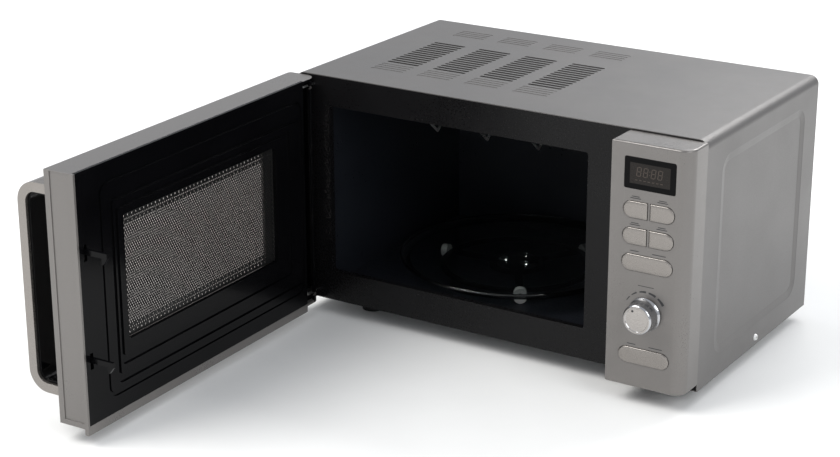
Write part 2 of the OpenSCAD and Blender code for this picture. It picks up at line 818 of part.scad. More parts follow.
module hinge_brackets() {
    color("gainsboro") for (low = [0, 1]) {
        z = low == 1 ? bracket_low_z : bracket_top_z;
        difference() {
            union() {
                box(axis_x - 6, axis_x + 6, axis_y, 12, z, z + bracket_t);
                rod_z(z, z + bracket_t, axis_x, axis_y, 6);
                box(axis_x - 6, axis_x + 22, sheet_t, sheet_t + 1.6,
                    low == 1 ? z : z - 24, low == 1 ? z + 26 : z + bracket_t);
            }
            for (k = [0, 1]) rod_y(0, 4, axis_x + 14, (low == 1 ? z + 9 : z - 16) + k * 9, 1.8);
        }
        rod_z(low == 1 ? z - pin_len : z + bracket_t - eps, low == 1 ? z + eps : z + bracket_t + pin_len,
            axis_x, axis_y, hinge_pin_r);
    }
}

module turntable_motor() {
    top = floor_z - sheet_t;
    color("silver") difference() {
        union() {
            rod_z(top - 15, top, cav_cx, cav_cy, table_motor_r);
            box(cav_cx - table_motor_r - 8, cav_cx + table_motor_r + 8, cav_cy - 6, cav_cy + 6, top - 1, top);
            box(cav_cx - 8, cav_cx + 8, cav_cy + table_motor_r - 4, cav_cy + table_motor_r + 10,
                top - 14, top - 3);
        }
        rod_z(top - 8, top + 1, cav_cx, cav_cy, drive_r + run_gap);
        for (s = [-1, 1]) rod_z(top - 3, top + 1, cav_cx + s * (table_motor_r + 4.5), cav_cy, 1.8);
    }
}

module turntable_coupler() {
    z0 = floor_z + 1;
    color("#404040") {
        rod_z(floor_z - sheet_t - 7, z0 + 1, cav_cx, cav_cy, drive_r);
        rod_z(z0, glass_z - 4, cav_cx, cav_cy, 7.5);
        translate([cav_cx, cav_cy, glass_z - 5]) linear_extrude(4.6) difference() {
            union() {
                circle(9);
                for (a = [0 : 120 : 240]) rotate(a + 30) {
                    translate([0, -4]) square([16, 8]);
                    translate([16, 0]) circle(4);
                }
            }
            circle(4);
        }
    }
}

module turntable_glass() {
    r = glass_r;
    translate([cav_cx, cav_cy, glass_z]) color("lightcyan") {
        rotate_extrude($fn = 96) difference() {
            union() {
                square([r - 8, glass_t]);
                polygon([[r - 10, 0], [r - 8, 0], [r - 1.5, rim_h - 3], [r, rim_h - 1.5], [r, rim_h],
                    [r - 5, rim_h], [r - 10, glass_t]]);
            }
            translate([-1, glass_t]) square([1, 10]);
        }
        // ribs under the tray that the coupler turns
        for (a = [0 : 120 : 240]) rotate([0, 0, a + 90]) translate([14, 0, -2.2]) cylinder(h = 2.3, r = 5);
    }
}

module roller_ring() {
    zc = axle_z;
    color("whitesmoke") {
        translate([cav_cx, cav_cy, 0]) {
            translate([0, 0, zc - ring_t / 2]) linear_extrude(ring_t) {
                difference() {
                    circle(track_r - roller_w / 2 - 1.5);
                    circle(track_r - roller_w / 2 - 7.5);
                }
                difference() {
                    union() {
                        circle(29);
                        for (k = [0 : 2]) rotate(roller_angle(k))
                            translate([0, -4]) square([track_r - roller_w / 2 - 4, 8]);
                    }
                    circle(22);
                }
            }
            for (k = [0 : 2]) rotate([0, 0, roller_angle(k)])
                rod_x(track_r - roller_w / 2 - 4, track_r + roller_w / 2 + 1.2, 0, zc, roller_pin_r);
        }
    }
}

function roller_angle(k) = roller_start + 120 * k;

module roller(k) {
    place = [cav_cx, cav_cy, axle_z];
    color("white") translate(place) rotate([0, 0, roller_angle(k)]) rotate([0, 90, 0]) difference() {
        union() {
            translate([0, 0, track_r - roller_w / 2]) cylinder(h = roller_w, r = roller_r);
            translate([0, 0, track_r - roller_w / 2 - 0.8]) cylinder(h = roller_w + 1.2, r = 3);
        }
        translate([0, 0, track_r - roller_w]) cylinder(h = 2 * roller_w, r = roller_pin_r + run_gap);
    }
}

// ---------- mains inlet and fasteners ----------

module filter_board() {
    x1 = side_x - 5;
    x0 = x1 - 34;
    y1 = rear_y - 12;
    z = base_z + 24;
    color("darkgreen") {
        box(x0, x1, y1 - 70, y1, z, z + 1.6);
        rod_z(z + 1.6, z + 18, x0 + 12, y1 - 50, 9);
        box(x0 + 4, x1 - 6, y1 - 34, y1 - 22, z + 1.6, z + 16);
        rod_y(y1 - 18, y1 + 2 - 4, x1 - 10, z + 5.2, 2.6);
        for (sx = [x0 + 4, x1 - 4], sy = [y1 - 66, y1 - 4]) rod_z(base_z, z, sx, sy, 2.5);
    }
}

module cord_gland() {
    color("#1b1b1b") difference() {
        union() {
            rod_y(rear_y - 6, cover_d + 1, gland_x, gland_z, gland_r);
            rod_y(rear_y + sheet_t, rear_y + sheet_t + 2, gland_x, gland_z, gland_r + 3);
            rod_y(rear_y - 4, rear_y, gland_x, gland_z, gland_r + 2);
        }
        rod_y(rear_y - 10, cover_d + 2, gland_x, gland_z, 3.6);
    }
}

module case_screws() {
    color("gainsboro") {
        rear_screw_places() rotate([-90, 0, 0]) screw(3.4, 1.8, 1.5, 5);
        for (s = [0, 1]) mirror([s, 0, 0])
            translate([side_x, cover_d / 2 + 3.5, 8.5]) rotate([0, 90, 0]) screw(3.4, 1.8, 1.35, 6);
    }
}

// ---------- control panel ----------

module panel_outline(inset) {
    r = panel_r - inset;
    x0 = panel_x + inset;
    x1 = side_x - inset;
    y0 = face_y + inset;
    translate([x0, y0 + r]) square([x1 - x0, -r - y0 + (inset > 0 ? 1 : 0)]);
    translate([x0, y0]) square([x1 - x0 - r, r + eps]);
    translate([x1 - r, y0 + r]) circle(r, $fn = 64);
}

module pill(x0, x1, z, h) {
    rrect(x0, x1, z - h / 2, z + h / 2, h / 2 - eps);
}

// One button of a split pair: round at its outer end, square at the split
module half_pill(left, z, h, grow) {
    g = grow;
    x0 = left ? face_x - g : face_x + face_w - half_button - g;
    x1 = x0 + half_button + 2 * g;
    hh = h / 2 + g;
    translate([left ? x0 + hh : x0, z - hh]) square([x1 - x0 - hh, 2 * hh]);
    translate([left ? x0 + hh : x1 - hh, z]) circle(hh);
}

module wide_pill(z, h, grow) {
    pill(face_x - grow, face_x + face_w + grow, z, h + 2 * grow);
}

module control_panel() {
    color("silver") difference() {
        translate([0, 0, panel_bottom]) linear_extrude(door_z1 - panel_bottom) panel_outline(0);
        translate([0, 0, panel_bottom + panel_t]) linear_extrude(door_z1 - panel_bottom - 2 * panel_t)
            panel_outline(panel_t);
        along_y(face_y - 1, face_y + panel_t + 1) {
            rrect(face_x + 0.8, face_x + face_w - 0.8, display_cz - display_h / 2 + 0.8,
                display_cz + display_h / 2 - 0.8, 1.5);
            for (z = [row_1, row_2], left = [true, false]) half_pill(left, z, button_h, button_gap);
            for (z = [row_3, start_cz]) wide_pill(z, button_h, button_gap);
            translate([face_cx, knob_cz]) circle(6);
        }
        // seat of the display window
        along_y(face_y - 1, face_y + 1.2)
            rrect(face_x - 0.1, face_x + face_w + 0.1, display_cz - display_h / 2 - 0.1,
                display_cz + display_h / 2 + 0.1, 2);
    }
}

module display_window() {
    color("#101214") {
        along_y(face_y - 0.3, face_y + 1.2)
            rrect(face_x, face_x + face_w, display_cz - display_h / 2, display_cz + display_h / 2, 1.9);
        along_y(face_y + 1.2, face_y + 3.2)
            rrect(face_x + 1, face_x + face_w - 1, display_cz - display_h / 2 + 1,
                display_cz + display_h / 2 - 1, 1.4);
    }
}

module display_module() {
    color("#3a2c20")
        box(face_x + 4, face_x + face_w - 4, face_y + 3.4, board_y, display_cz - 12, display_cz + 12);
}

module control_board() {
    x0 = panel_x + panel_t + 3;
    x1 = side_x - panel_t - 3;
    z0 = panel_bottom + panel_t + 10;
    z1 = door_z1 - panel_t - 4;
    y1 = board_y + board_t;
    color("seagreen") {
        box(x0, x1, board_y, y1, z0, z1);
        // relays, board transformer and sounder on the back
        for (k = [0, 1]) box(x0 + 8 + k * 22, x0 + 26 + k * 22, y1, y1 + 14, z0 + 8, z0 + 22);
        box(x0 + 14, x0 + 50, y1, y1 + 16, z0 + 34, z0 + 64);
        rod_y(y1, y1 + 8, x0 + 20, z1 - 60, 6);
        box(x0 + 30, x0 + 56, y1, y1 + 4, z1 - 70, z1 - 50);
    }
}

module tact_switches() {
    sx = face_w / 4;
    color("dimgray") for (z = [row_1, row_2], s = [-1, 1]) tact(face_cx + s * sx, z);
    color("dimgray") for (z = [row_3, start_cz]) tact(face_cx, z);
}

module tact(x, z) {
    box(x - 3, x + 3, board_y - 3.5, board_y, z - 3, z + 3);
    rod_y(board_y - 5, board_y - 3.5, x, z, 1.7);
}

// Cap, retaining flange and stem of a push button; profile 0 is the cap
module button_body(x, z) {
    travel_gap = 0.2;
    stem_end = board_y - 5 - button_travel - travel_gap;
    along_y(face_y - button_proud, flange_y) children(0);
    along_y(flange_y, flange_y + 1.2) children(1);
    rod_y(flange_y + 1.2, stem_end, x, z, 2);
}

module split_button(left, z) {
    color("silver") button_body(face_cx + (left ? -1 : 1) * face_w / 4, z) {
        half_pill(left, z, button_h, 0);
        half_pill(left, z, button_h, 0.9);
    }
}

module wide_button(z) {
    color("silver") button_body(face_cx, z) {
        wide_pill(z, button_h, 0);
        wide_pill(z, button_h, 1.2);
    }
}

module encoder_body() {
    y0 = board_y - 7;
    color("gray") difference() {
        union() {
            box(face_cx - 7, face_cx + 7, y0, board_y, knob_cz - 7, knob_cz + 7);
            rod_y(face_y - 0.2, y0, face_cx, knob_cz, 5);
        }
        rod_y(face_y - 2, board_y - 1, face_cx, knob_cz, encoder_r + run_gap);
    }
}

module encoder_shaft() {
    color("silver") rod_y(face_y - knob_out + 4, board_y - 2, face_cx, knob_cz, encoder_r);
}

module knob() {
    front = knob_out - knob_gap;
    color("gainsboro") translate([face_cx, face_y - knob_gap, knob_cz]) rotate([90, 0, 0]) difference() {
        rotate_extrude($fn = 96) difference() {
            union() {
                polygon([[0, 0], [knob_r, 0], [knob_r, 2.6], [knob_r - 0.8, 3.4], [cap_r + 0.8, 4.4],
                    [cap_r + 0.4, front - 2.6], [cap_r - 1.4, front], [cap_r - 1.8, front],
                    [cap_r - 2.2, front - 0.5], [0, front - 0.5]]);
            }
            translate([-1, -1]) square([encoder_r + 1, knob_out - 4 - knob_gap + 1]);
            polygon([[7, -1], [knob_r - 2.2, -1], [knob_r - 2.6, 4], [cap_r - 3, 5], [cap_r - 3, front - 4],
                [7, front - 4]]);
        }
        translate([0, cap_r - 4.2, front - 0.9]) cylinder(h = 2, r = 1.1);
    }
}

// ---------- door ----------

// Plan of the door: square at the free end, and an arc about the hinge axis at
// the inner hinge corner so that the door turns clear of the front plate
module door_plan(inset) {
    x0 = door_x0 + inset;
    x1 = door_x1 - inset;
    y0 = face_y + inset;
    y1 = back_y;
    r = 4 - inset;
    r2 = corner_r - inset;
    translate([x0, y0 + r]) square([x1 - x0, axis_y - y0 - r]);
    translate([x0 + r, y0]) square([x1 - x0 - r, axis_y - y0]);
    translate([x0 + r, y0 + r]) circle(r);
    translate([axis_x, axis_y - eps]) square([x1 - axis_x, y1 - axis_y + eps]);
    translate([axis_x, axis_y]) circle(r2);
}

module door_frame() {
    win_x0 = door_x0 + window_hinge;
    win_x1 = door_x1 - window_free;
    win_z0 = door_bottom + window_bottom;
    win_z1 = door_z1 - window_top;
    color("silver") difference() {
        union() {
            difference() {
                translate([0, 0, door_bottom]) linear_extrude(door_z1 - door_bottom) door_plan(0);
                translate([0, 0, door_bottom + frame_t])
                    linear_extrude(door_z1 - door_bottom - 2 * frame_t) door_plan(frame_t);
                // the back is open for the choke cover
                box(choke_x0, choke_x1, back_y - 3.2, 1, choke_z0, door_z1 + 1);
            }
            // silver lip along the bottom of the back
            box(choke_x0, door_x1, back_y - 4, back_y, door_bottom - lip_drop, door_bottom + frame_t - eps);
            // bosses for the hinge pins
            box(door_x0 + 5, axis_x + 9, axis_y - 9, axis_y + 7, bracket_top_z + bracket_t, door_z1 - 1);
            box(door_x0 + 5, axis_x + 9, axis_y - 9, axis_y + 7, door_bottom + 1, bracket_low_z);
            // posts that the handle screws go through
            handle_screw_places() rod_y(face_y + 1, face_y + 8, 0, 0, 5);
        }
        // a shallow channel down the free end
        box(door_x1 - 0.8, door_x1 + 1, face_y + 6, back_y - 4.5, door_bottom + 5, door_z1 - 0.8);
        along_y(face_y - 1, face_y + frame_t + 1) rrect(win_x0, win_x1, win_z0, win_z1, 8);
        for (z = [bracket_top_z - bracket_gap * 2, bracket_low_z - bracket_gap])
            box(door_x0 - 1, axis_x + notch_half, axis_y - notch_half, 1, z, z + bracket_t + 3 * bracket_gap);
        rod_z(bracket_top_z, bracket_top_z + bracket_t + pin_len + 0.5, axis_x, axis_y,
            hinge_pin_r + run_gap);
        rod_z(bracket_low_z - pin_len - 0.5, bracket_low_z + 1, axis_x, axis_y, hinge_pin_r + run_gap);
        handle_screw_places() rod_y(face_y - 2, face_y + 12, 0, 0, 2.1);
    }
}

module door_glass() {
    y0 = face_y + frame_t;
    color("#14161a") along_y(y0, y0 + pane_t)
        rrect(door_x0 + window_hinge - 12, door_x1 - window_free + 8, door_bottom + window_bottom - 12,
            door_z1 - window_top + 12, 6);
}

// Steel inner panel: flat sheet with a folded edge; the middle is perforated
module door_screen() {
    x0 = choke_x0 + 3;
    x1 = choke_x1 - 3.5;
    z0 = choke_z0 + 3;
    z1 = choke_z1 - 3;
    color("dimgray") difference() {
        union() {
            along_y(screen_y - sheet_t, screen_y) rrect(x0, x1, z0, z1, 4);
            // tab that the latch spring stands against
            box(spring_x - 3, spring_x + 2.4, screen_y - 7, screen_y, spring_z1 + wire_r + 0.1,
                spring_z1 + wire_r + 1.1);
            along_y(screen_y - 6, screen_y - sheet_t + eps) difference() {
                rrect(scr_x0 - 14, scr_x1 + 14, scr_z0 - 14, scr_z1 + 14, 10);
                rrect(scr_x0 - 14 + sheet_t, scr_x1 + 14 - sheet_t, scr_z0 - 14 + sheet_t,
                    scr_z1 + 14 - sheet_t, 9);
            }
        }
        box(hook_x1 - hook_t - 0.7, x1 + 1, screen_y - 2, screen_y + 1, hook_lower_z - 14, hook_upper_z + 9);
    }
}

module choke_cover() {
    x0 = choke_x0 + 0.2;
    x1 = choke_x1 - 0.2;
    z0 = choke_z0 + 0.2;
    z1 = door_z1;
    y0 = screen_y;
    gx0 = x0 + 4;
    gx1 = x1 - 29;
    gz0 = z0 + 15;
    gz1 = z1 - 17;
    color("#1c1d1f") difference() {
        union() {
            along_y(back_y - 3, back_y) rrect(x0, x1, z0, z1, 1.5);
            // walls that stand on the steel panel around the screen
            along_y(y0, back_y - 3 + eps) difference() {
                rrect(scr_x0 - 10, scr_x1 + 10, scr_z0 - 10, scr_z1 + 10, 8);
                rrect(scr_x0, scr_x1, scr_z0, scr_z1, 3);
            }
        }
        // the screen shows through the middle
        along_y(y0 - 1, 1) rrect(scr_x0, scr_x1, scr_z0, scr_z1, 3);
        // groove around the choke
        along_y(back_y - 1.4, 1) difference() {
            rrect(gx0, gx1, gz0, gz1, 12);
            rrect(gx0 + 2.4, gx1 - 2.4, gz0 + 2.4, gz1 - 2.4, 9.6);
        }
        // long channels between the groove and the screen
        for (k = [0, 1]) along_y(back_y - 1.8, 1) difference() {
            rrect(scr_x0 - 46 + k * 22, scr_x1 + 17 - k * 6, scr_z0 - 38 + k * 16, scr_z1 + 20 - k * 9, 5);
            rrect(scr_x0 - 38 + k * 22, scr_x1 + 13.5 - k * 6, scr_z0 - 30 + k * 16, scr_z1 + 16 - k * 9, 3);
        }
        for (z = [hook_upper_z, hook_lower_z])
            along_y(back_y - 4, 1) rrect(hook_x1 - hook_t - 0.6, hook_x1 + 0.6,
                z - hook_drop - 0.8, z + 2.5 + hook_travel + 0.8, 0.5);
    }
}

// ---------- handle ----------

handle_x1 = door_x1 - handle_inset;
handle_x0 = handle_x1 - handle_w;
handle_z0 = door_bottom + handle_bottom;
handle_z1 = door_z1 - handle_top;
handle_y = face_y - handle_out;

// Closed outline of the handle in y and z; the door face cuts its back off
module handle_outline(inset) {
    r = handle_r - inset;
    rrect(handle_y + inset, face_y + handle_r + 10, handle_z0 + inset, handle_z1 - inset, r);
}

module behind_face() {
    translate([face_y, 0]) square([100, cover_h]);
}

module door_handle() {
    color("silver") difference() {
        union() {
            along_x(handle_x0, handle_x1) difference() {
                handle_outline(0);
                handle_outline(grip_t);
                behind_face();
            }
            // feet with threaded sockets for the screws
            handle_screw_places() rod_y(face_y - 14, face_y, 0, 0, 6);
        }
        handle_screw_places() rod_y(face_y - 12, face_y + 1, 0, 0, 1.6);
    }
}

module handle_liner() {
    color("#18191b") difference() {
        along_x(handle_x0 + 3, handle_x1 - 3) difference() {
            handle_outline(grip_t);
            handle_outline(grip_t + liner_t);
            behind_face();
        }
        handle_screw_places() rod_y(face_y - 15, face_y + 1, 0, 0, 6);
    }
}

module handle_screw_places() {
    x = (handle_x0 + handle_x1) / 2;
    for (z = [handle_z0 + 7, handle_z1 - 7]) translate([x, 0, z]) children();
}

module handle_screws() {
    color("gainsboro") handle_screw_places()
        translate([0, face_y + 8, 0]) rotate([-90, 0, 0]) screw(4, 2, 1.55, 18);
}

// ---------- latch ----------

module latch_hooks() {
    x0 = hook_x1 - hook_t;
    tip = back_y + hook_len;
    rail_y = screen_y - 2;
    color("black") {
        box(x0, hook_x1, rail_y - 5, rail_y, hook_lower_z - 4, hook_upper_z + 2.5);
        for (z = [hook_upper_z, hook_lower_z]) {
            box(x0, hook_x1, rail_y - 5, tip, z - 2.5, z + 2.5);
            along_x(x0, hook_x1) polygon([[tip - 6, z - 2.4], [tip - 6, z - hook_drop],
                [tip - 4.5, z - hook_drop], [tip, z - 2.4]]);
        }
        // lug that the spring presses on
        box(x0 - 6, x0 + eps, rail_y - 5, rail_y, spring_z0 - wire_r - 3, spring_z0 - wire_r - 0.1);
    }
}

spring_r = 2.4;
wire_r = 0.4;
spring_turns = 9;
spring_steps = 9;
spring_sides = 6;
spring_z0 = hook_lower_z + 33;
spring_z1 = spring_z0 + 19;
spring_x = hook_x1 - hook_t - 3.2;
spring_y = screen_y - 4.5;

// Points of the spring wire: rings of a small circle that climb a helix
function coil_point(i, j) =
    let (n = spring_turns * spring_steps, a = 360 * i / spring_steps, b = 360 * j / spring_sides,
        r = spring_r + wire_r * cos(b), z = spring_z0 + (spring_z1 - spring_z0) * i / n + wire_r * sin(b))
    [spring_x + r * cos(a), spring_y + r * sin(a), z];

module latch_spring() {
    n = spring_turns * spring_steps;
    m = spring_sides;
    points = [for (i = [0 : n], j = [0 : m - 1]) coil_point(i, j)];
    sides = [for (i = [0 : n - 1], j = [0 : m - 1])
        [i * m + j, i * m + (j + 1) % m, (i + 1) * m + (j + 1) % m, (i + 1) * m + j]];
    caps = [[for (j = [m - 1 : -1 : 0]) j], [for (j = [0 : m - 1]) n * m + j]];
    color("silver") polyhedron(points, concat(sides, caps), convexity = 10);
}

// ---------- assembly ----------

at_cabinet() outer_cover();
at_cabinet() base_plate();
at_cabinet() rear_panel();
at_cabinet() front_plate();
at_cabinet() cavity_liner();
at_cabinet() waveguide_cover();
at_cabinet() waveguide();
at_cabinet() magnetron_yoke();
at_cabinet() magnetron_core();
at_cabinet() magnetron_filter();
at_cabinet() transformer_core();
at_cabinet() transformer_windings();
at_cabinet() capacitor();
at_cabinet() capacitor_clamp();
at_cabinet() diode();
at_cabinet() fan_shroud();
at_cabinet() fan_motor();
at_cabinet() cavity_lamp();
at_cabinet() thermal_cutouts();
at_cabinet() grill_tubes();
at_cabinet() grill_holders();
at_cabinet() grill_guard();
at_cabinet() interlock_bracket();
at_cabinet() microswitches();
at_cabinet() hinge_brackets();
at_cabinet() turntable_motor();
at_cabinet() filter_board();
at_cabinet() cord_gland();
at_cabinet() feet();
at_cabinet() case_screws();
at_cabinet() control_panel();
at_cabinet() display_window();
at_cabinet() display_module();
at_cabinet() control_board();
at_cabinet() encoder_body();
at_cabinet() tact_switches();
at_door() door_frame();
at_door() door_glass();
at_door() door_screen();
at_door() choke_cover();
at_door() door_handle();
at_door() handle_liner();
at_door() handle_screws();
at_door() latch_hooks();
at_door() latch_spring();
at_cabinet() split_button(true, row_1);  // button_upper_left
at_cabinet() split_button(false, row_1);  // button_upper_right
at_cabinet() split_button(true, row_2);  // button_middle_left
at_cabinet() split_button(false, row_2);  // button_middle_right
at_cabinet() wide_button(row_3);  // button_stop
at_cabinet() wide_button(start_cz);  // button_start
at_cabinet() knob();
at_cabinet() encoder_shaft();
at_cabinet() turntable_glass();
at_cabinet() turntable_coupler();
at_cabinet() roller_ring();
at_cabinet() roller(0);  // roller_1
at_cabinet() roller(1);  // roller_2
at_cabinet() roller(2);  // roller_3
at_cabinet() fan_blade();
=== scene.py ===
"""Microwave oven: looks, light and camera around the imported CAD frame."""

import json
import math

import bmesh
import bpy
from mathutils import Matrix, Vector


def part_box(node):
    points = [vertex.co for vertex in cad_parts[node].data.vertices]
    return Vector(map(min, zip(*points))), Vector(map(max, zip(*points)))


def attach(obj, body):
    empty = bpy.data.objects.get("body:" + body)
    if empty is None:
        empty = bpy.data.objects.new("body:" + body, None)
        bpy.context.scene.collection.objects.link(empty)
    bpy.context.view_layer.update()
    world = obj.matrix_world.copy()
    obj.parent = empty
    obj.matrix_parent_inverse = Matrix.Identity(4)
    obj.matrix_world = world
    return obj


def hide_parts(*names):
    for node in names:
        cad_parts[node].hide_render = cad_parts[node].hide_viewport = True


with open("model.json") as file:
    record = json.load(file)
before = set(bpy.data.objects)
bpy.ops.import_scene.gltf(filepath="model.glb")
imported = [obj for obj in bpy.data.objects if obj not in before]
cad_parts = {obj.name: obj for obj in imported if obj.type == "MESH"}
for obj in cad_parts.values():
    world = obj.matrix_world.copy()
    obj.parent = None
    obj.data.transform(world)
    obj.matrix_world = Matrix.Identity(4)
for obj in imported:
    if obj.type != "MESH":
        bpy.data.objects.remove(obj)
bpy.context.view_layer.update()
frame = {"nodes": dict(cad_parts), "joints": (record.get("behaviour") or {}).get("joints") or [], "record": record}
NODES = frame["nodes"]
RECORD = frame["record"]
MM = 0.001
SLOT_OF = {s["node"]: s["material_slot"] for s in RECORD["subparts"]}
BODY_OF = {n: b for b, members in RECORD["behaviour"]["bodies"].items() for n in members}
JOINTS = {j["name"]: j for j in frame["joints"]}

# The door is stored open. Door pieces are built closed and then turned open.
HINGE = Vector(JOINTS["door_hinge"]["pos_m"])
OPEN_ANGLE = math.radians(JOINTS["door_hinge"]["range_deg"][1])
TO_OPEN = Matrix.Translation(HINGE) @ Matrix.Rotation(-OPEN_ANGLE, 4, "Z") @ Matrix.Translation(-HINGE)
TO_CLOSED = TO_OPEN.inverted()

# Points closer than this are one point
WELD = 2e-6


# ---------------------------------------------------------------- camera and light

CAMERA_PLACE = (0.9244, -1.7052, 0.782)
CAMERA_AZIMUTH, CAMERA_ELEVATION, CAMERA_ROLL = 32.51, 19.59, -0.11
CAMERA_LENS = 85.64
SENSOR_WIDTH = 36
SKY_COLOUR = (0.92, 0.95, 1.0, 1)
SKY_STRENGTH = 0.62


def aim(azimuth, elevation, roll):
    """Camera matrix axes for a view direction given in degrees."""
    a, e, r = (math.radians(v) for v in (azimuth, elevation, roll))
    forward = Vector((-math.sin(a) * math.cos(e), math.cos(a) * math.cos(e), -math.sin(e)))
    right = Vector((math.cos(a), math.sin(a), 0))
    up = right.cross(forward)
    side = right * math.cos(r) + up * math.sin(r)
    top = up * math.cos(r) - right * math.sin(r)
    return Matrix((side, top, -forward)).transposed().to_4x4()


def make_camera():
    data = bpy.data.cameras.new("camera")
    data.sensor_width = SENSOR_WIDTH
    data.lens = CAMERA_LENS
    data.clip_start, data.clip_end = 0.05, 50
    cam = bpy.data.objects.new("camera", data)
    bpy.context.scene.collection.objects.link(cam)
    view = aim(CAMERA_AZIMUTH, CAMERA_ELEVATION, CAMERA_ROLL)
    cam.matrix_world = Matrix.Translation(CAMERA_PLACE) @ view
    bpy.context.scene.camera = cam


def make_light(name, place, target, size, power, colour=(1, 1, 1)):
    data = bpy.data.lights.new(name, "AREA")
    data.shape = "RECTANGLE"
    data.size, data.size_y = size
    data.energy = power
    data.color = colour
    lamp = bpy.data.objects.new(name, data)
    bpy.context.scene.collection.objects.link(lamp)
    lamp.location = place
    lamp.rotation_mode = "QUATERNION"
    lamp.rotation_quaternion = (Vector(target) - Vector(place)).to_track_quat("-Z", "Y")


def make_world():
    world = bpy.data.worlds.new("studio")
    bpy.context.scene.world = world
    world.use_nodes = True
    sky = world.node_tree.nodes["Background"]
    sky.inputs["Color"].default_value = SKY_COLOUR
    sky.inputs["Strength"].default_value = SKY_STRENGTH
    bpy.context.scene.view_settings.view_transform = "Standard"


def make_floor():
    reach, drop = 8, -0.0002
    corners = [(-reach, -reach, drop), (reach, -reach, drop), (reach, reach, drop), (-reach, reach, drop)]
    mesh = bpy.data.meshes.new("floor")
    mesh.from_pydata(corners, [], [(0, 1, 2, 3)])
    obj = bpy.data.objects.new("floor", mesh)
    bpy.context.scene.collection.objects.link(obj)
    card = coat_of("floor_card", (0.88, 0.88, 0.87), 0.8, specular=0.2, mottle=0.01, peel=0.02)
    obj.data.materials.append(card.mat)
    return obj


# ---------------------------------------------------------------- materials

class Graph:
    """A small helper that adds shader nodes by type and wires them."""

    def __init__(self, name):
        self.mat = bpy.data.materials.new(name)
        self.mat.use_nodes = True
        self.tree = self.mat.node_tree
        self.bsdf = self.tree.nodes["Principled BSDF"]
        self.coords = self.add("ShaderNodeTexCoord").outputs["Object"]

    def add(self, kind, values=None, **settings):
        node = self.tree.nodes.new(kind)
        for key, value in settings.items():
            setattr(node, key, value)
        for key, value in (values or {}).items():
            if isinstance(value, bpy.types.NodeSocket):
                self.tree.links.new(value, node.inputs[key])
            else:
                node.inputs[key].default_value = value
        return node

    def scaled(self, scale):
        return self.add("ShaderNodeMapping", {"Vector": self.coords, "Scale": scale}).outputs[0]

    def noise(self, scale, detail=3, stretch=(1, 1, 1)):
        return self.add("ShaderNodeTexNoise", {"Vector": self.scaled(stretch), "Scale": scale,
                                               "Detail": detail}).outputs["Fac"]

    def flakes(self, scale):
        return self.add("ShaderNodeTexVoronoi", {"Vector": self.coords, "Scale": scale}).outputs["Color"]

    def fit(self, value, low, high, source=(0.3, 0.7)):
        return self.add("ShaderNodeMapRange", {"Value": value, "From Min": source[0], "From Max": source[1],
                                               "To Min": low, "To Max": high}).outputs[0]

    def math(self, operation, a, b):
        return self.add("ShaderNodeMath", {0: a, 1: b}, operation=operation).outputs[0]

    def mix(self, factor, a, b):
        node = self.add("ShaderNodeMix", data_type="RGBA")
        for key, value in ((0, factor), (6, a), (7, b)):
            if isinstance(value, bpy.types.NodeSocket):
                self.tree.links.new(value, node.inputs[key])
            else:
                node.inputs[key].default_value = value
        return node.outputs[2]

    def set(self, name, value):
        socket = self.bsdf.inputs[name]
        if isinstance(value, bpy.types.NodeSocket):
            self.tree.links.new(value, socket)
        else:
            socket.default_value = value

    def bump(self, height, strength, distance=0.0002, normal=None):
        values = {"Height": height, "Strength": strength, "Distance": distance}
        if normal is not None:
            values["Normal"] = normal
        return self.add("ShaderNodeBump", values).outputs[0]


def rgb(colour, gain=1.0):
    return tuple(c * gain for c in colour[:3]) + (1,)


def coat_of(name, colour, rough, metallic=0.0, coat=0.0, specular=0.5, mottle=0.12, peel=0.15, grain=700,
           flake=0.0, brush=None, wear=0.0, wear_colour=None):
    """Painted, moulded or metal surface: mottled colour, uneven roughness, fine grain, worn edges."""
    g = Graph(name)
    cloud = g.noise(14, 4)
    fine = g.noise(grain, 2, brush or (1, 1, 1))
    tone = g.mix(g.fit(cloud, 0, 1), rgb(colour, 1 - mottle), rgb(colour, 1 + mottle))
    if flake:
        spark = g.add("ShaderNodeSeparateColor", {0: g.flakes(2600)}).outputs[0]
        tone = g.mix(g.fit(spark, 0, flake, (0, 1)), tone, rgb(colour, 1.9))
    if wear:
        edge = g.add("ShaderNodeNewGeometry").outputs["Pointiness"]
        amount = g.math("MULTIPLY", g.fit(edge, 0, wear, (0.52, 0.6)), g.fit(g.noise(60, 3), 0.2, 1))
        tone = g.mix(amount, tone, rgb(wear_colour or colour, 1.0 if wear_colour else 1.6))
    g.set("Base Color", tone)
    uneven = g.math("ADD", g.fit(cloud, -0.05, 0.05), g.fit(fine, -0.06, 0.06))
    g.set("Roughness", g.math("ADD", uneven, rough))
    g.set("Metallic", metallic)
    g.set("Specular IOR Level", specular)
    if coat:
        g.set("Coat Weight", coat)
        g.set("Coat Roughness", 0.12)
    wavy = g.bump(g.noise(30, 2), peel * 0.5, 0.0006)
    g.set("Normal", g.bump(fine, peel, 0.00015, wavy))
    return g


def glass(name, colour, rough, alpha=1.0, transmission=1.0, ior=1.5):
    g = Graph(name)
    smear = g.noise(35, 4)
    g.set("Base Color", g.mix(g.fit(smear, 0, 1), rgb(colour, 0.94), rgb(colour, 1.04)))
    g.set("Roughness", g.fit(g.noise(90, 4), rough, rough + 0.05))
    g.set("Transmission Weight", transmission)
    g.set("IOR", ior)
    g.set("Alpha", alpha)
    g.set("Normal", g.bump(g.noise(12, 2), 0.04, 0.0008))
    return g


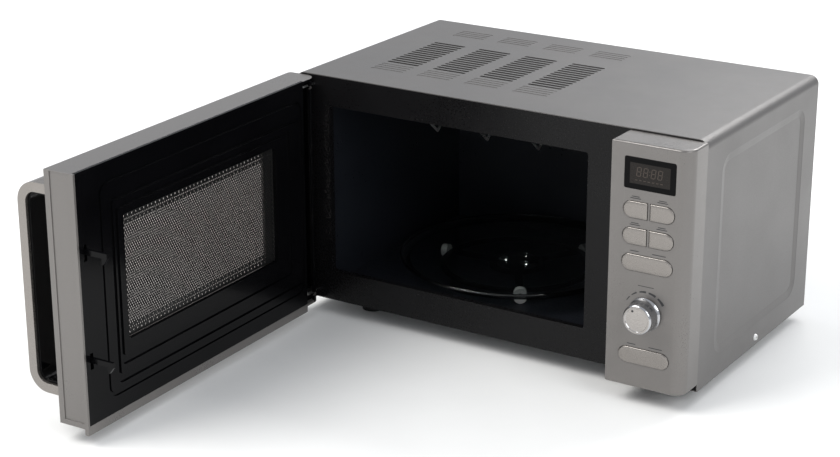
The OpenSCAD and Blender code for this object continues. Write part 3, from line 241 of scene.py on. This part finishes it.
def make_materials():
    steel = dict(metallic=0.9, mottle=0.15, peel=0.12)
    black = dict(mottle=0.2, peel=0.04, grain=900)
    g = {
        "outer_cover": coat_of("cover_paint", (0.135, 0.129, 0.125), 0.40, 0.55, coat=0.12, mottle=0.03,
                               flake=0.12, peel=0.06, grain=1500, wear=0.15),
        "sheet_steel": coat_of("zinc_sheet", (0.34, 0.34, 0.345), 0.38, grain=120, **steel),
        "front_black": coat_of("front_enamel", (0.0042, 0.0040, 0.0044), 0.30, specular=0.20, mottle=0.15,
                               peel=0.08, grain=500),
        "cavity_paint": coat_of("cavity_enamel", (0.0088, 0.0102, 0.0136), 0.36, specular=0.32, mottle=0.15,
                                peel=0.08, grain=420),
        "mica": coat_of("mica_sheet", (0.022, 0.020, 0.018), 0.5, mottle=0.3, peel=0.2, grain=260),
        "magnet_steel": coat_of("plated_steel", (0.5, 0.5, 0.49), 0.32, **steel),
        "copper_fins": coat_of("finned_aluminium", (0.5, 0.44, 0.36), 0.35, 0.9, mottle=0.2,
                               brush=(1, 0.05, 1)),
        "laminations": coat_of("stacked_laminations", (0.10, 0.10, 0.115), 0.5, 0.6, mottle=0.2,
                               brush=(0.02, 0.02, 6), grain=300, peel=0.6),
        "windings": coat_of("taped_copper", (0.30, 0.11, 0.04), 0.45, 0.3, mottle=0.3, brush=(1, 1, 5),
                            grain=500, peel=0.6),
        "can": coat_of("drawn_aluminium", (0.55, 0.56, 0.58), 0.3, 0.95, brush=(1, 0.03, 1), peel=0.2),
        "black_plastic": coat_of("black_moulding", (0.0022, 0.0022, 0.0026), 0.13, specular=0.11, **black),
        "white_plastic": coat_of("white_moulding", (0.42, 0.42, 0.41), 0.35, mottle=0.05, peel=0.06),
        "ceramic": coat_of("glazed_ceramic", (0.5, 0.48, 0.42), 0.28, coat=0.4, mottle=0.08, peel=0.06),
        "quartz": glass("frosted_quartz", (0.8, 0.8, 0.78), 0.4, alpha=0.75, transmission=0.5),
        "bright_wire": coat_of("plated_wire", (0.86, 0.86, 0.85), 0.32, 1.0, mottle=0.08, peel=0.05),
        "switch_red": coat_of("red_moulding", (0.28, 0.03, 0.02), 0.45, mottle=0.1, peel=0.1),
        "board": coat_of("circuit_board", (0.012, 0.09, 0.04), 0.35, coat=0.3, mottle=0.2, peel=0.1,
                         grain=200),
        "display_glass": coat_of("smoked_window", (0.002, 0.002, 0.0022), 0.12, specular=0.08, mottle=0.2,
                                 peel=0.02, grain=600),
        "silver_paint": coat_of("silver_panel_paint", (0.172, 0.162, 0.154), 0.34, 0.6, coat=0.25,
                                mottle=0.03, flake=0.1, peel=0.04, grain=1500, wear=0.2),
        "tinted_glass": glass("smoked_glass", (0.52, 0.49, 0.47), 0.02),
        "screen_metal": coat_of("screen_enamel", (0.008, 0.008, 0.008), 0.35, specular=0.25, mottle=0.2,
                                peel=0.05),
        "satin_chrome": coat_of("satin_silver", (0.262, 0.243, 0.226), 0.27, 0.85, coat=0.2, mottle=0.02,
                                flake=0.04, peel=0.015, grain=1800, wear=0.1),
        "clear_glass": glass("tempered_glass", (0.93, 0.97, 0.96), 0.01),
        "foot_rubber": coat_of("foot_rubber", (0.01, 0.01, 0.01), 0.75, specular=0.3, mottle=0.2, peel=0.3),
    }
    return {k: v.mat for k, v in g.items()}


# ---------------------------------------------------------------- mesh helpers

# Side pockets of the cover: their floors lie between these depths in from the side
POCKET_LOW = 35 * MM
POCKET_REACH = 100 * MM
POCKET_R = 16 * MM
POCKET_SLOPE = 6 * MM
POCKET_DEEPEST = 2.4 * MM
POCKET_SHALLOWEST = 1.4 * MM
# Edges of the cover inside these limits belong to a pocket's rim
RIM_SIDE = 222 * MM
RIM_TOP = 240 * MM
RIM_FRONT = -100 * MM
RIM_BACK = 105 * MM


def new_object(name, mesh, material, body):
    obj = bpy.data.objects.new(name, mesh)
    bpy.context.scene.collection.objects.link(obj)
    if material is not None:
        obj.data.materials.append(material)
    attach(obj, body)
    return obj


def mesh_of(bm, name, smooth_angle=50):
    """Writes a bmesh to a mesh that is smooth except at edges sharper than the angle."""
    bmesh.ops.recalc_face_normals(bm, faces=bm.faces)
    for f in bm.faces:
        f.smooth = True
    for e in bm.edges:
        e.smooth = len(e.link_faces) == 2 and e.calc_face_angle() < math.radians(smooth_angle)
    mesh = bpy.data.meshes.new(name)
    bm.to_mesh(mesh)
    bm.free()
    return mesh


def weight_normals(obj):
    mod = obj.modifiers.new("even_normals", "WEIGHTED_NORMAL")
    mod.keep_sharp = True
    mod.weight = 100


def soften(node, *passes, prepare=None, slot=None):
    """Copies a CAD node, rounds its edges and lets the copy stand for the node. A pass is
    (width in mm, segments, smallest edge angle in degrees, test of the edge's middle or None)."""
    bm = bmesh.new()
    bm.from_mesh(NODES[node].data)
    bmesh.ops.remove_doubles(bm, verts=bm.verts, dist=WELD)
    bmesh.ops.dissolve_limit(bm, angle_limit=math.radians(0.4), verts=bm.verts, edges=bm.edges)
    if prepare:
        prepare(bm)
    for width, segments, angle, test in passes:
        edges = [e for e in bm.edges if len(e.link_faces) == 2 and e.calc_face_angle() > math.radians(angle)
                 and (test is None or test((e.verts[0].co + e.verts[1].co) / 2))]
        if edges:
            bmesh.ops.bevel(bm, geom=edges, offset=width * MM, offset_type="OFFSET", profile=0.5,
                            segments=segments, affect="EDGES", clamp_overlap=True)
    slot = slot or SLOT_OF[node]
    obj = new_object(node + "_piece", mesh_of(bm, node + "_soft"), MATERIALS[slot], BODY_OF[node])
    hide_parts(node)
    weight_normals(obj)
    return obj


def slope_pockets(bm):
    """Draws the floor of each side pocket in, so that its wall slopes as a pressed one does."""
    side = max(v.co.x for v in bm.verts)
    floor = [v for v in bm.verts if side - POCKET_DEEPEST < abs(v.co.x) < side - POCKET_SHALLOWEST
             and v.co.z > POCKET_LOW - 2 * MM and abs(v.co.y) < POCKET_REACH]
    y_mid = (min(v.co.y for v in floor) + max(v.co.y for v in floor)) / 2
    z_mid = (min(v.co.z for v in floor) + max(v.co.z for v in floor)) / 2
    y_half = max(v.co.y for v in floor) - y_mid
    z_half = max(v.co.z for v in floor) - z_mid
    for v in floor:
        out = Vector((max(0, abs(v.co.y - y_mid) - (y_half - POCKET_R)),
                      max(0, abs(v.co.z - z_mid) - (z_half - POCKET_R))))
        if out.length > 0:
            out.normalize()
            v.co.y -= math.copysign(out.x * POCKET_SLOPE, v.co.y - y_mid)
            v.co.z -= math.copysign(out.y * POCKET_SLOPE, v.co.z - z_mid)


def lathe(profile, steps=128):
    """Closed ring of faces: turns a closed (radius, height) profile about Z."""
    bm = bmesh.new()
    rings = []
    for r, z in profile:
        if r < 1e-7:
            rings.append([bm.verts.new((0, 0, z))])
        else:
            rings.append([bm.verts.new((r * math.cos(2 * math.pi * k / steps),
                                        r * math.sin(2 * math.pi * k / steps), z)) for k in range(steps)])
    for a, b in zip(rings, rings[1:] + rings[:1]):
        if len(a) == 1 and len(b) == 1:
            continue
        for k in range(steps):
            n = (k + 1) % steps
            corners = [a[k % len(a)], a[n % len(a)], b[n % len(b)], b[k % len(b)]]
            unique = list(dict.fromkeys(corners))
            bm.faces.new(unique)
    return bm


def arc(cx, cz, r, a0, a1, steps=8):
    return [(cx + r * math.cos(math.radians(a0 + (a1 - a0) * k / steps)),
             cz + r * math.sin(math.radians(a0 + (a1 - a0) * k / steps))) for k in range(steps + 1)]


def closed_box(node):
    """Box of a door node when the door is shut."""
    points = [TO_CLOSED @ v.co for v in NODES[node].data.vertices]
    low = Vector(min(p[i] for p in points) for i in range(3))
    high = Vector(max(p[i] for p in points) for i in range(3))
    return low, high


def loft(rings):
    """Closed skin over rings that have the same number of points."""
    bm = bmesh.new()
    rows = [[bm.verts.new(p) for p in ring] for ring in rings]
    n = len(rows[0])
    for a, b in zip(rows, rows[1:]):
        for k in range(n):
            bm.faces.new((a[k], a[(k + 1) % n], b[(k + 1) % n], b[k]))
    bm.faces.new(rows[0])
    bm.faces.new(rows[-1])
    return bm


# ---------------------------------------------------------------- control panel

# Button flanges stand out this far around the caps, behind the panel's wall
BUTTON_FLANGE = 0.9 * MM
BUTTON_FLANGE_WIDE = 1.2 * MM
BUTTON_SEAT = 2.8 * MM


def pill_outline(x0, x1, z0, z1, left_round, right_round, steps=14):
    """Closed outline, anticlockwise, with round or nearly square ends."""
    h = (z1 - z0) / 2
    zc = (z0 + z1) / 2
    small = min(0.6 * MM, h / 3)
    points = []
    if right_round:
        points += [(x1 - h + h * math.cos(a), zc + h * math.sin(a))
                   for a in (math.pi * (k / steps - 0.5) for k in range(steps + 1))]
    else:
        points += [(x1 - small, z0), (x1, z0 + small), (x1, z1 - small), (x1 - small, z1)]
    if left_round:
        points += [(x0 + h + h * math.cos(a), zc + h * math.sin(a))
                   for a in (math.pi * (k / steps + 0.5) for k in range(steps + 1))]
    else:
        points += [(x0 + small, z1), (x0, z1 - small), (x0, z0 + small), (x0 + small, z0)]
    return points


def make_buttons():
    """Domed caps: each ring is the cap's outline drawn in a little further."""
    panel_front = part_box("control_panel")[0].y
    for node in [n for n in NODES if n.startswith("button_")]:
        low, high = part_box(node)
        flange = BUTTON_FLANGE_WIDE if node in ("button_stop", "button_start") else BUTTON_FLANGE
        ends = (not node.endswith("_right"), not node.endswith("_left"))
        proud = panel_front - low.y
        seat = panel_front + BUTTON_SEAT
        # (drawn in by, distance in front of the panel as a share of the cap's height)
        dome = ((0, 0.35), (0.15, 0.55), (0.5, 0.72), (1.2, 0.84), (2.4, 0.93), (4.2, 0.985), (6.2, 1.0))
        levels = [(-flange, seat + 1.2 * MM), (-flange, seat), (0, seat)]
        levels += [(inset * MM, panel_front - proud * share) for inset, share in dome]
        rings = []
        for inset, y in levels:
            d = flange + inset
            outline = pill_outline(low.x + d, high.x - d, low.z + d, high.z - d, *ends)
            rings.append([(x, y, z) for x, z in outline])
        obj = new_object(node + "_cap", mesh_of(loft(rings), node + "_cap", 40), MATERIALS[SLOT_OF[node]],
                         BODY_OF[node])
        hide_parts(node)
        weight_normals(obj)


def make_knob():
    low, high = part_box("knob")
    centre = (low + high) / 2
    depth = high.y - low.y
    skirt = (high.x - low.x) / 2
    cap = skirt - 1.9 * MM
    profile = [(0, 0.4 * MM), (skirt - 2.2 * MM, 0.4 * MM), (skirt - 1.2 * MM, 0)]
    profile += arc(skirt - 1.0 * MM, 1.0 * MM, 1.0 * MM, -80, 60, 8)
    profile += [(cap + 0.5 * MM, 3.4 * MM), (cap + 0.15 * MM, 4.4 * MM), (cap - 0.1 * MM, depth - 4.2 * MM)]
    profile += arc(cap - 2.6 * MM, depth - 2.5 * MM, 2.5 * MM, 5, 88, 10)
    profile += [(cap - 3.1 * MM, depth - 0.15 * MM), (cap - 3.4 * MM, depth - 0.5 * MM),
                (cap * 0.5, depth - 0.42 * MM), (0, depth - 0.4 * MM)]
    bm = lathe(profile)
    turn = Matrix.Translation((centre.x, high.y, centre.z)) @ Matrix.Rotation(math.radians(90), 4, "X")
    bmesh.ops.transform(bm, matrix=turn, verts=bm.verts)
    obj = new_object("knob_body", mesh_of(bm, "knob_body", 35), KNOB_BODY, "dial")
    obj.data.materials.append(KNOB_FACE)
    face_y = high.y - depth + 0.62 * MM
    for f in obj.data.polygons:
        if all(obj.data.vertices[v].co.y < face_y for v in f.vertices) and abs(f.normal.y) > 0.9:
            f.material_index = 1
    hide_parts("knob")
    weight_normals(obj)
    # pointer mark: a low dome near the rim of the cap's face
    radius = cap - 5.4 * MM
    angle = math.radians(118)
    mark = lathe([(0, -0.2 * MM), (1.15 * MM, -0.2 * MM), (1.15 * MM, 0.08 * MM), (0.95 * MM, 0.28 * MM),
                  (0.5 * MM, 0.37 * MM), (0, 0.4 * MM)], 28)
    bmesh.ops.rotate(mark, cent=(0, 0, 0), matrix=Matrix.Rotation(math.radians(90), 3, "X"), verts=mark.verts)
    bmesh.ops.translate(mark, vec=(centre.x + radius * math.cos(angle), low.y + 0.45 * MM,
                                   centre.z + radius * math.sin(angle)), verts=mark.verts)
    new_object("knob_pointer", mesh_of(mark, "knob_pointer"), INK, "dial")


def flat_strip(bm, points, y0, y1):
    """Thin closed plate over a convex outline of (x, z), from y0 back to y1."""
    front = [bm.verts.new((x, y0, z)) for x, z in points]
    back = [bm.verts.new((x, y1, z)) for x, z in points]
    bm.faces.new(front)
    bm.faces.new(back)
    n = len(points)
    for k in range(n):
        bm.faces.new((front[k], front[(k + 1) % n], back[(k + 1) % n], back[k]))


def make_display():
    low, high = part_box("display_window")
    front = low.y
    cx, cz = (low.x + high.x) / 2, (low.z + high.z) / 2
    # lit area: a slightly raised, lighter inner window
    half_w, half_h = 20 * MM, 9.8 * MM
    bm = bmesh.new()
    flat_strip(bm, [(cx - half_w, cz - half_h), (cx + half_w, cz - half_h), (cx + half_w, cz + half_h),
                    (cx - half_w, cz + half_h)], front - 0.02 * MM, front + 0.2 * MM)
    new_object("display_panel", mesh_of(bm, "display_panel"), LCD, "cabinet")
    bm = bmesh.new()
    digit_w, digit_h, lean = 4.6 * MM, 9.0 * MM, 0.12
    t = 0.75 * MM
    y0, y1 = front - 0.05 * MM, front + 0.1 * MM

    def bar(x0, z0, x1, z1):
        pts = [(x0, z0), (x1, z0), (x1, z1), (x0, z1)]
        flat_strip(bm, [(x + (z - cz) * lean, z) for x, z in pts], y0, y1)

    base = cz + 1.8 * MM
    gap = 0.2 * MM
    for x in (-11.2, -4.6, 3.2, 9.8):
        x0 = cx + x * MM - digit_w / 2
        x1 = x0 + digit_w
        zl, zh = base - digit_h / 2, base + digit_h / 2
        for z in (zl, base - t / 2, zh - t):
            bar(x0 + t + gap, z, x1 - t - gap, z + t)
        for x_side in (x0, x1 - t):
            bar(x_side, zl + t * 0.6, x_side + t, base - gap)
            bar(x_side, base + gap, x_side + t, zh - t * 0.6)
    for z in (-1.7, 1.7):
        bar(cx - 1.15 * MM, base + z * MM - t / 2, cx - 0.25 * MM, base + z * MM + t / 2)
    for k in range(7):
        x0 = cx + (-14 + k * 4.2) * MM
        bar(x0, cz - 6.6 * MM, x0 + 2.4 * MM, cz - 5.9 * MM)
    new_object("display_digits", mesh_of(bm, "display_digits"), DIGITS, "cabinet")


# Height of the dashes over the buttons, and radius of the arc of dashes round the knob
DASH_HEIGHT = 0.75 * MM
DIAL_RADIUS = 21.5 * MM


def make_panel_marks():
    """Plain dashes over the buttons and the thickening arc round the knob."""
    panel_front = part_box("control_panel")[0].y
    y0, y1 = panel_front - 0.05 * MM, panel_front + 0.3 * MM
    bm = bmesh.new()
    for node in [n for n in NODES if n.startswith("button_")]:
        low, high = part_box(node)
        wide = high.x - low.x > 40 * MM
        places = [(0.26, 8.5), (0.72, 13.5)] if wide else [(0.5, 10.5)]
        for share, length in places:
            x = low.x + (high.x - low.x) * share
            for k, size in enumerate((1.0, 0.72)[: 1 if wide else 2]):
                z = high.z + (1.7 + 1.7 * k) * MM
                half = length * size * MM / 2
                top = z + DASH_HEIGHT
                flat_strip(bm, [(x - half, z), (x + half, z), (x + half, top), (x - half, top)], y0, y1)
    low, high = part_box("knob")
    cx, cz = (low.x + high.x) / 2, (low.z + high.z) / 2
    half = 8 * MM
    flat_strip(bm, [(cx - half, cz + 26.5 * MM), (cx + half, cz + 26.5 * MM), (cx + half, cz + 27.1 * MM),
                    (cx - half, cz + 27.1 * MM)], y0, y1)
    starts = (152, 131, 107, 82, 55)
    for k, start in enumerate(starts):
        width = (0.9 + 0.4 * k) * MM
        span = 14 + 2.0 * k
        for j in range(8):
            a0, a1 = (math.radians(start - span * (j + d) / 8) for d in (0, 1))
            grow = width / 2 * (0.75 + 0.05 * j)
            inner, outer = DIAL_RADIUS - grow, DIAL_RADIUS + grow
            flat_strip(bm, [(cx + r * math.cos(a), cz + r * math.sin(a))
                            for r, a in ((inner, a0), (outer, a0), (outer, a1), (inner, a1))], y0, y1)
    bmesh.ops.remove_doubles(bm, verts=bm.verts, dist=1e-7)
    new_object("panel_marks", mesh_of(bm, "panel_marks"), INK, "cabinet")


# ---------------------------------------------------------------- door

# The window, measured in from the edges of the door's inner cover
WINDOW_HINGE = 49.1 * MM
WINDOW_FREE = 60.3 * MM
WINDOW_LOW = 62.8 * MM
WINDOW_TOP = 54.5 * MM
HOLE_PITCH = 2.85 * MM
# How far the holes run on behind the window's edge, on each side
HOLE_OVERRUN = 2.5 * MM
SCREEN_BORDER = 1.5 * MM
SCREEN_THICKNESS = 0.6 * MM


def screen_cell(bm, x, z, width, height, hole, step):
    """One cell of perforated sheet: the ring of faces between its outline and a round hole."""
    across = round(width / step)
    top = [(x - width / 2 + width * k / across, z + height / 2) for k in range(across + 1)]
    low = [(x + width / 2 - width * k / across, z - height / 2) for k in range(across + 1)]
    outline = top + low
    rim = []
    for px, pz in outline:
        a = math.atan2((pz - z) / height, (px - x) / width)
        rim.append((x + hole * math.cos(a), z + hole * math.sin(a)))
    outer = [bm.verts.new((px, 0, pz)) for px, pz in outline]
    inner = [bm.verts.new((px, 0, pz)) for px, pz in rim]
    n = len(outline)
    for k in range(n):
        bm.faces.new((outer[k], outer[(k + 1) % n], inner[(k + 1) % n], inner[k]))


def blank(bm, x0, x1, z0, z1):
    bm.faces.new([bm.verts.new((x, 0, z)) for x, z in ((x0, z0), (x1, z0), (x1, z1), (x0, z1))])


def make_screen():
    """Perforated steel sheet behind the door's window: a dense field, and rows of separate
    holes above and below it."""
    low, high = closed_box("choke_cover")
    x0, x1 = low.x + WINDOW_HINGE, high.x - WINDOW_FREE
    z0, z1 = low.z + WINDOW_LOW, high.z - WINDOW_TOP
    step = HOLE_PITCH / 2
    row_h = HOLE_PITCH * math.sqrt(3) / 2
    columns = int((x1 - x0 + 2 * HOLE_OVERRUN) / HOLE_PITCH)
    sx0 = (x0 + x1) / 2 - columns * HOLE_PITCH / 2
    sx1 = sx0 + columns * HOLE_PITCH
    # (height, holes in the row, hole radius as a share of the pitch) from the outermost row inwards
    loose = ((3.9 * MM, columns // 2, 0.36), (2.9 * MM, columns, 0.33), (2.5 * MM, columns // 2, 0.30))
    loose_h = sum(h for h, _, _ in loose)
    dense = int((z1 - z0 - 2.4 * MM - 2 * loose_h) / row_h)
    height = dense * row_h + 2 * loose_h
    bm = bmesh.new()
    rows = [(h, count, r, 0) for h, count, r in loose]
    rows += [(row_h, columns, 0.36, k % 2) for k in range(dense)]
    rows += [(h, count, r, 0) for h, count, r in reversed(loose)]
    z = (z0 + z1) / 2 - height / 2
    levels = [z]
    for h, count, r, shifted in rows:
        wide = HOLE_PITCH * (2 if count < columns else 1)
        start = sx0 + (step if shifted else 0)
        n = int((sx1 - start) / wide + 1e-6)
        for k in range(n):
            screen_cell(bm, start + (k + 0.5) * wide, z + h / 2, wide, h, HOLE_PITCH * r, step)
        edges = [(sx0 - SCREEN_BORDER, sx0), (sx1, sx1 + SCREEN_BORDER)]
        if shifted:
            edges += [(sx0, start)]
        end = start + n * wide
        while end < sx1 - 1e-6:
            edges.append((end, end + step))
            end += step
        for xa, xb in edges:
            blank(bm, xa, xb, z, z + h)
        z += h
        levels.append(z)
    for za, zb in ((levels[0] - SCREEN_BORDER, levels[0]), (levels[-1], levels[-1] + SCREEN_BORDER)):
        for k in range(2 * columns):
            blank(bm, sx0 + k * step, sx0 + (k + 1) * step, za, zb)
        blank(bm, sx0 - SCREEN_BORDER, sx0, za, zb)
        blank(bm, sx1, sx1 + SCREEN_BORDER, za, zb)
    bmesh.ops.remove_doubles(bm, verts=bm.verts, dist=WELD)
    back = closed_box("door_screen")[1].y
    bmesh.ops.translate(bm, vec=(0, back, 0), verts=bm.verts)
    for f in bm.faces:
        if f.normal.y < 0:
            f.normal_flip()
    bmesh.ops.transform(bm, matrix=TO_OPEN, verts=bm.verts)
    mesh = bpy.data.meshes.new("screen_sheet")
    bm.to_mesh(mesh)
    bm.free()
    sheet = new_object("screen_sheet", mesh, MATERIALS["screen_metal"], "door")
    thick = sheet.modifiers.new("sheet_thickness", "SOLIDIFY")
    thick.thickness = SCREEN_THICKNESS
    thick.offset = -1
    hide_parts("door_screen")


def make_glass_tray():
    low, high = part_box("turntable_glass")
    centre = (low + high) / 2
    r = (high.x - low.x) / 2
    top = 9.3 * MM
    base = high.z - top
    t = 4 * MM
    profile = [(0, 0), (r - 12 * MM, 0)]
    profile += arc(r - 12 * MM, 5.5 * MM, 5.5 * MM, -88, -50, 5)
    profile += [(r - 4.2 * MM, 4.6 * MM), (r - 1.6 * MM, 6.4 * MM)]
    profile += arc(r - 1.5 * MM, top - 1.5 * MM, 1.5 * MM, -60, 150, 10)
    profile += [(r - 5.2 * MM, 7.0 * MM), (r - 8.6 * MM, t + 0.9 * MM), (r - 11.5 * MM, t + 0.1 * MM),
                (0, t)]
    bm = lathe(profile, 160)
    bmesh.ops.translate(bm, vec=(centre.x, centre.y, base), verts=bm.verts)
    obj = new_object("glass_tray", mesh_of(bm, "glass_tray", 60), MATERIALS["clear_glass"], "turntable")
    # lugs that the coupler pushes
    lug_place = 14 * MM
    lugs = bmesh.new()
    for k in range(3):
        a = math.radians(90 + 120 * k)
        one = lathe([(0, 0.02 * MM), (4.9 * MM, 0.02 * MM), (4.9 * MM, -1.2 * MM), (4.3 * MM, -2.1 * MM),
                     (0, -2.15 * MM)], 32)
        spot = (centre.x + lug_place * math.cos(a), centre.y + lug_place * math.sin(a), base)
        bmesh.ops.translate(one, vec=spot, verts=one.verts)
        part = bpy.data.meshes.new("lug")
        one.to_mesh(part)
        one.free()
        lugs.from_mesh(part)
        bpy.data.meshes.remove(part)
    lug_obj = new_object("glass_lugs", mesh_of(lugs, "glass_lugs", 40), MATERIALS["clear_glass"], "turntable")
    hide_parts("turntable_glass")
    weight_normals(obj)
    weight_normals(lug_obj)


# ---------------------------------------------------------------- build

make_camera()
make_world()
make_light("key", (-1.3, -1.6, 2.3), (0, 0, 0.1), (1.8, 1.4), 62, (1.0, 0.985, 0.96))
make_light("fill", (2.2, -1.0, 1.5), (0, 0, 0.1), (1.4, 1.4), 26, (0.97, 0.985, 1.0))
make_light("back", (0.2, 2.0, 2.0), (0, 0, 0.2), (2.2, 1.0), 46)

MATERIALS = make_materials()
INK = coat_of("panel_ink", (0.02, 0.02, 0.022), 0.5, mottle=0.2, peel=0.1).mat
LCD = coat_of("lcd_glass", (0.017, 0.0145, 0.013), 0.25, specular=0.15, mottle=0.12, peel=0.03).mat
DIGITS = coat_of("lcd_digits", (0.065, 0.052, 0.044), 0.4, specular=0.2, mottle=0.1, peel=0.05).mat
KNOB_BODY = coat_of("knob_chrome", (0.46, 0.465, 0.48), 0.16, 0.95, coat=0.1, mottle=0.02, peel=0.02).mat
KNOB_FACE = coat_of("knob_brushed", (0.42, 0.395, 0.375), 0.30, 0.85, mottle=0.04, brush=(0.04, 1, 1.6),
                    grain=1400, peel=0.12).mat

for node, obj in NODES.items():
    obj.data.materials.clear()
    obj.data.materials.append(MATERIALS[SLOT_OF[node]])

panel_low, panel_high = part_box("control_panel")


def panel_top_edge(p):
    return (p.z > panel_high.z - 0.1 * MM or p.z < panel_low.z + 0.1 * MM) and p.y < panel_high.y - 1 * MM


def pocket_rim(p):
    return POCKET_LOW < p.z < RIM_TOP and abs(p.x) > RIM_SIDE and RIM_FRONT < p.y < RIM_BACK


soften("control_panel", (2.0, 4, 32, panel_top_edge),
       (0.35, 2, 32, lambda p: p.y < panel_low.y + 0.1 * MM and p.x > panel_low.x + 5 * MM
        and panel_low.z + 10 * MM < p.z < panel_high.z - 5 * MM))
soften("outer_cover", (1.6, 3, 9, pocket_rim), prepare=slope_pockets)
soften("front_plate", (0.5, 2, 32, None))
soften("choke_cover", (0.8, 3, 32, None))
soften("door_handle", (2.2, 3, 32, None))
soften("handle_liner", (0.6, 2, 32, None))
soften("display_window", (0.35, 2, 32, None))
soften("latch_hooks", (0.3, 2, 32, None))
soften("turntable_coupler", (0.5, 2, 32, None))
# The roller ring is given the black moulding in place of its white slot: painted shade, as the ring lies dark in
# the cavity's shade under the glass tray.
soften("roller_ring", (0.4, 2, 32, None), slot="black_plastic")
for node in ("roller_1", "roller_2", "roller_3", "feet", "cord_gland", "hinge_brackets", "grill_holders"):
    soften(node, (0.4, 2, 32, None))

# The door's shell is silver outside and black where it faces the oven at the hinge, this far
# across from the hinge pin and this far in front of it
HINGE_SIDE = 13 * MM
HINGE_FRONT = 6 * MM
shell = soften("door_frame", (0.9, 3, 32, None))
shell.data.materials.append(MATERIALS["black_plastic"])
for face in shell.data.polygons:
    place, normal = TO_CLOSED @ face.center, TO_CLOSED.to_3x3() @ face.normal
    inner_side = place.x < HINGE.x + HINGE_SIDE and place.y > HINGE.y - HINGE_FRONT
    if inner_side and abs(normal.z) < 0.6:
        face.material_index = 1

make_buttons()
make_knob()
make_display()
make_panel_marks()
make_screen()
make_glass_tray()

floor = make_floor()
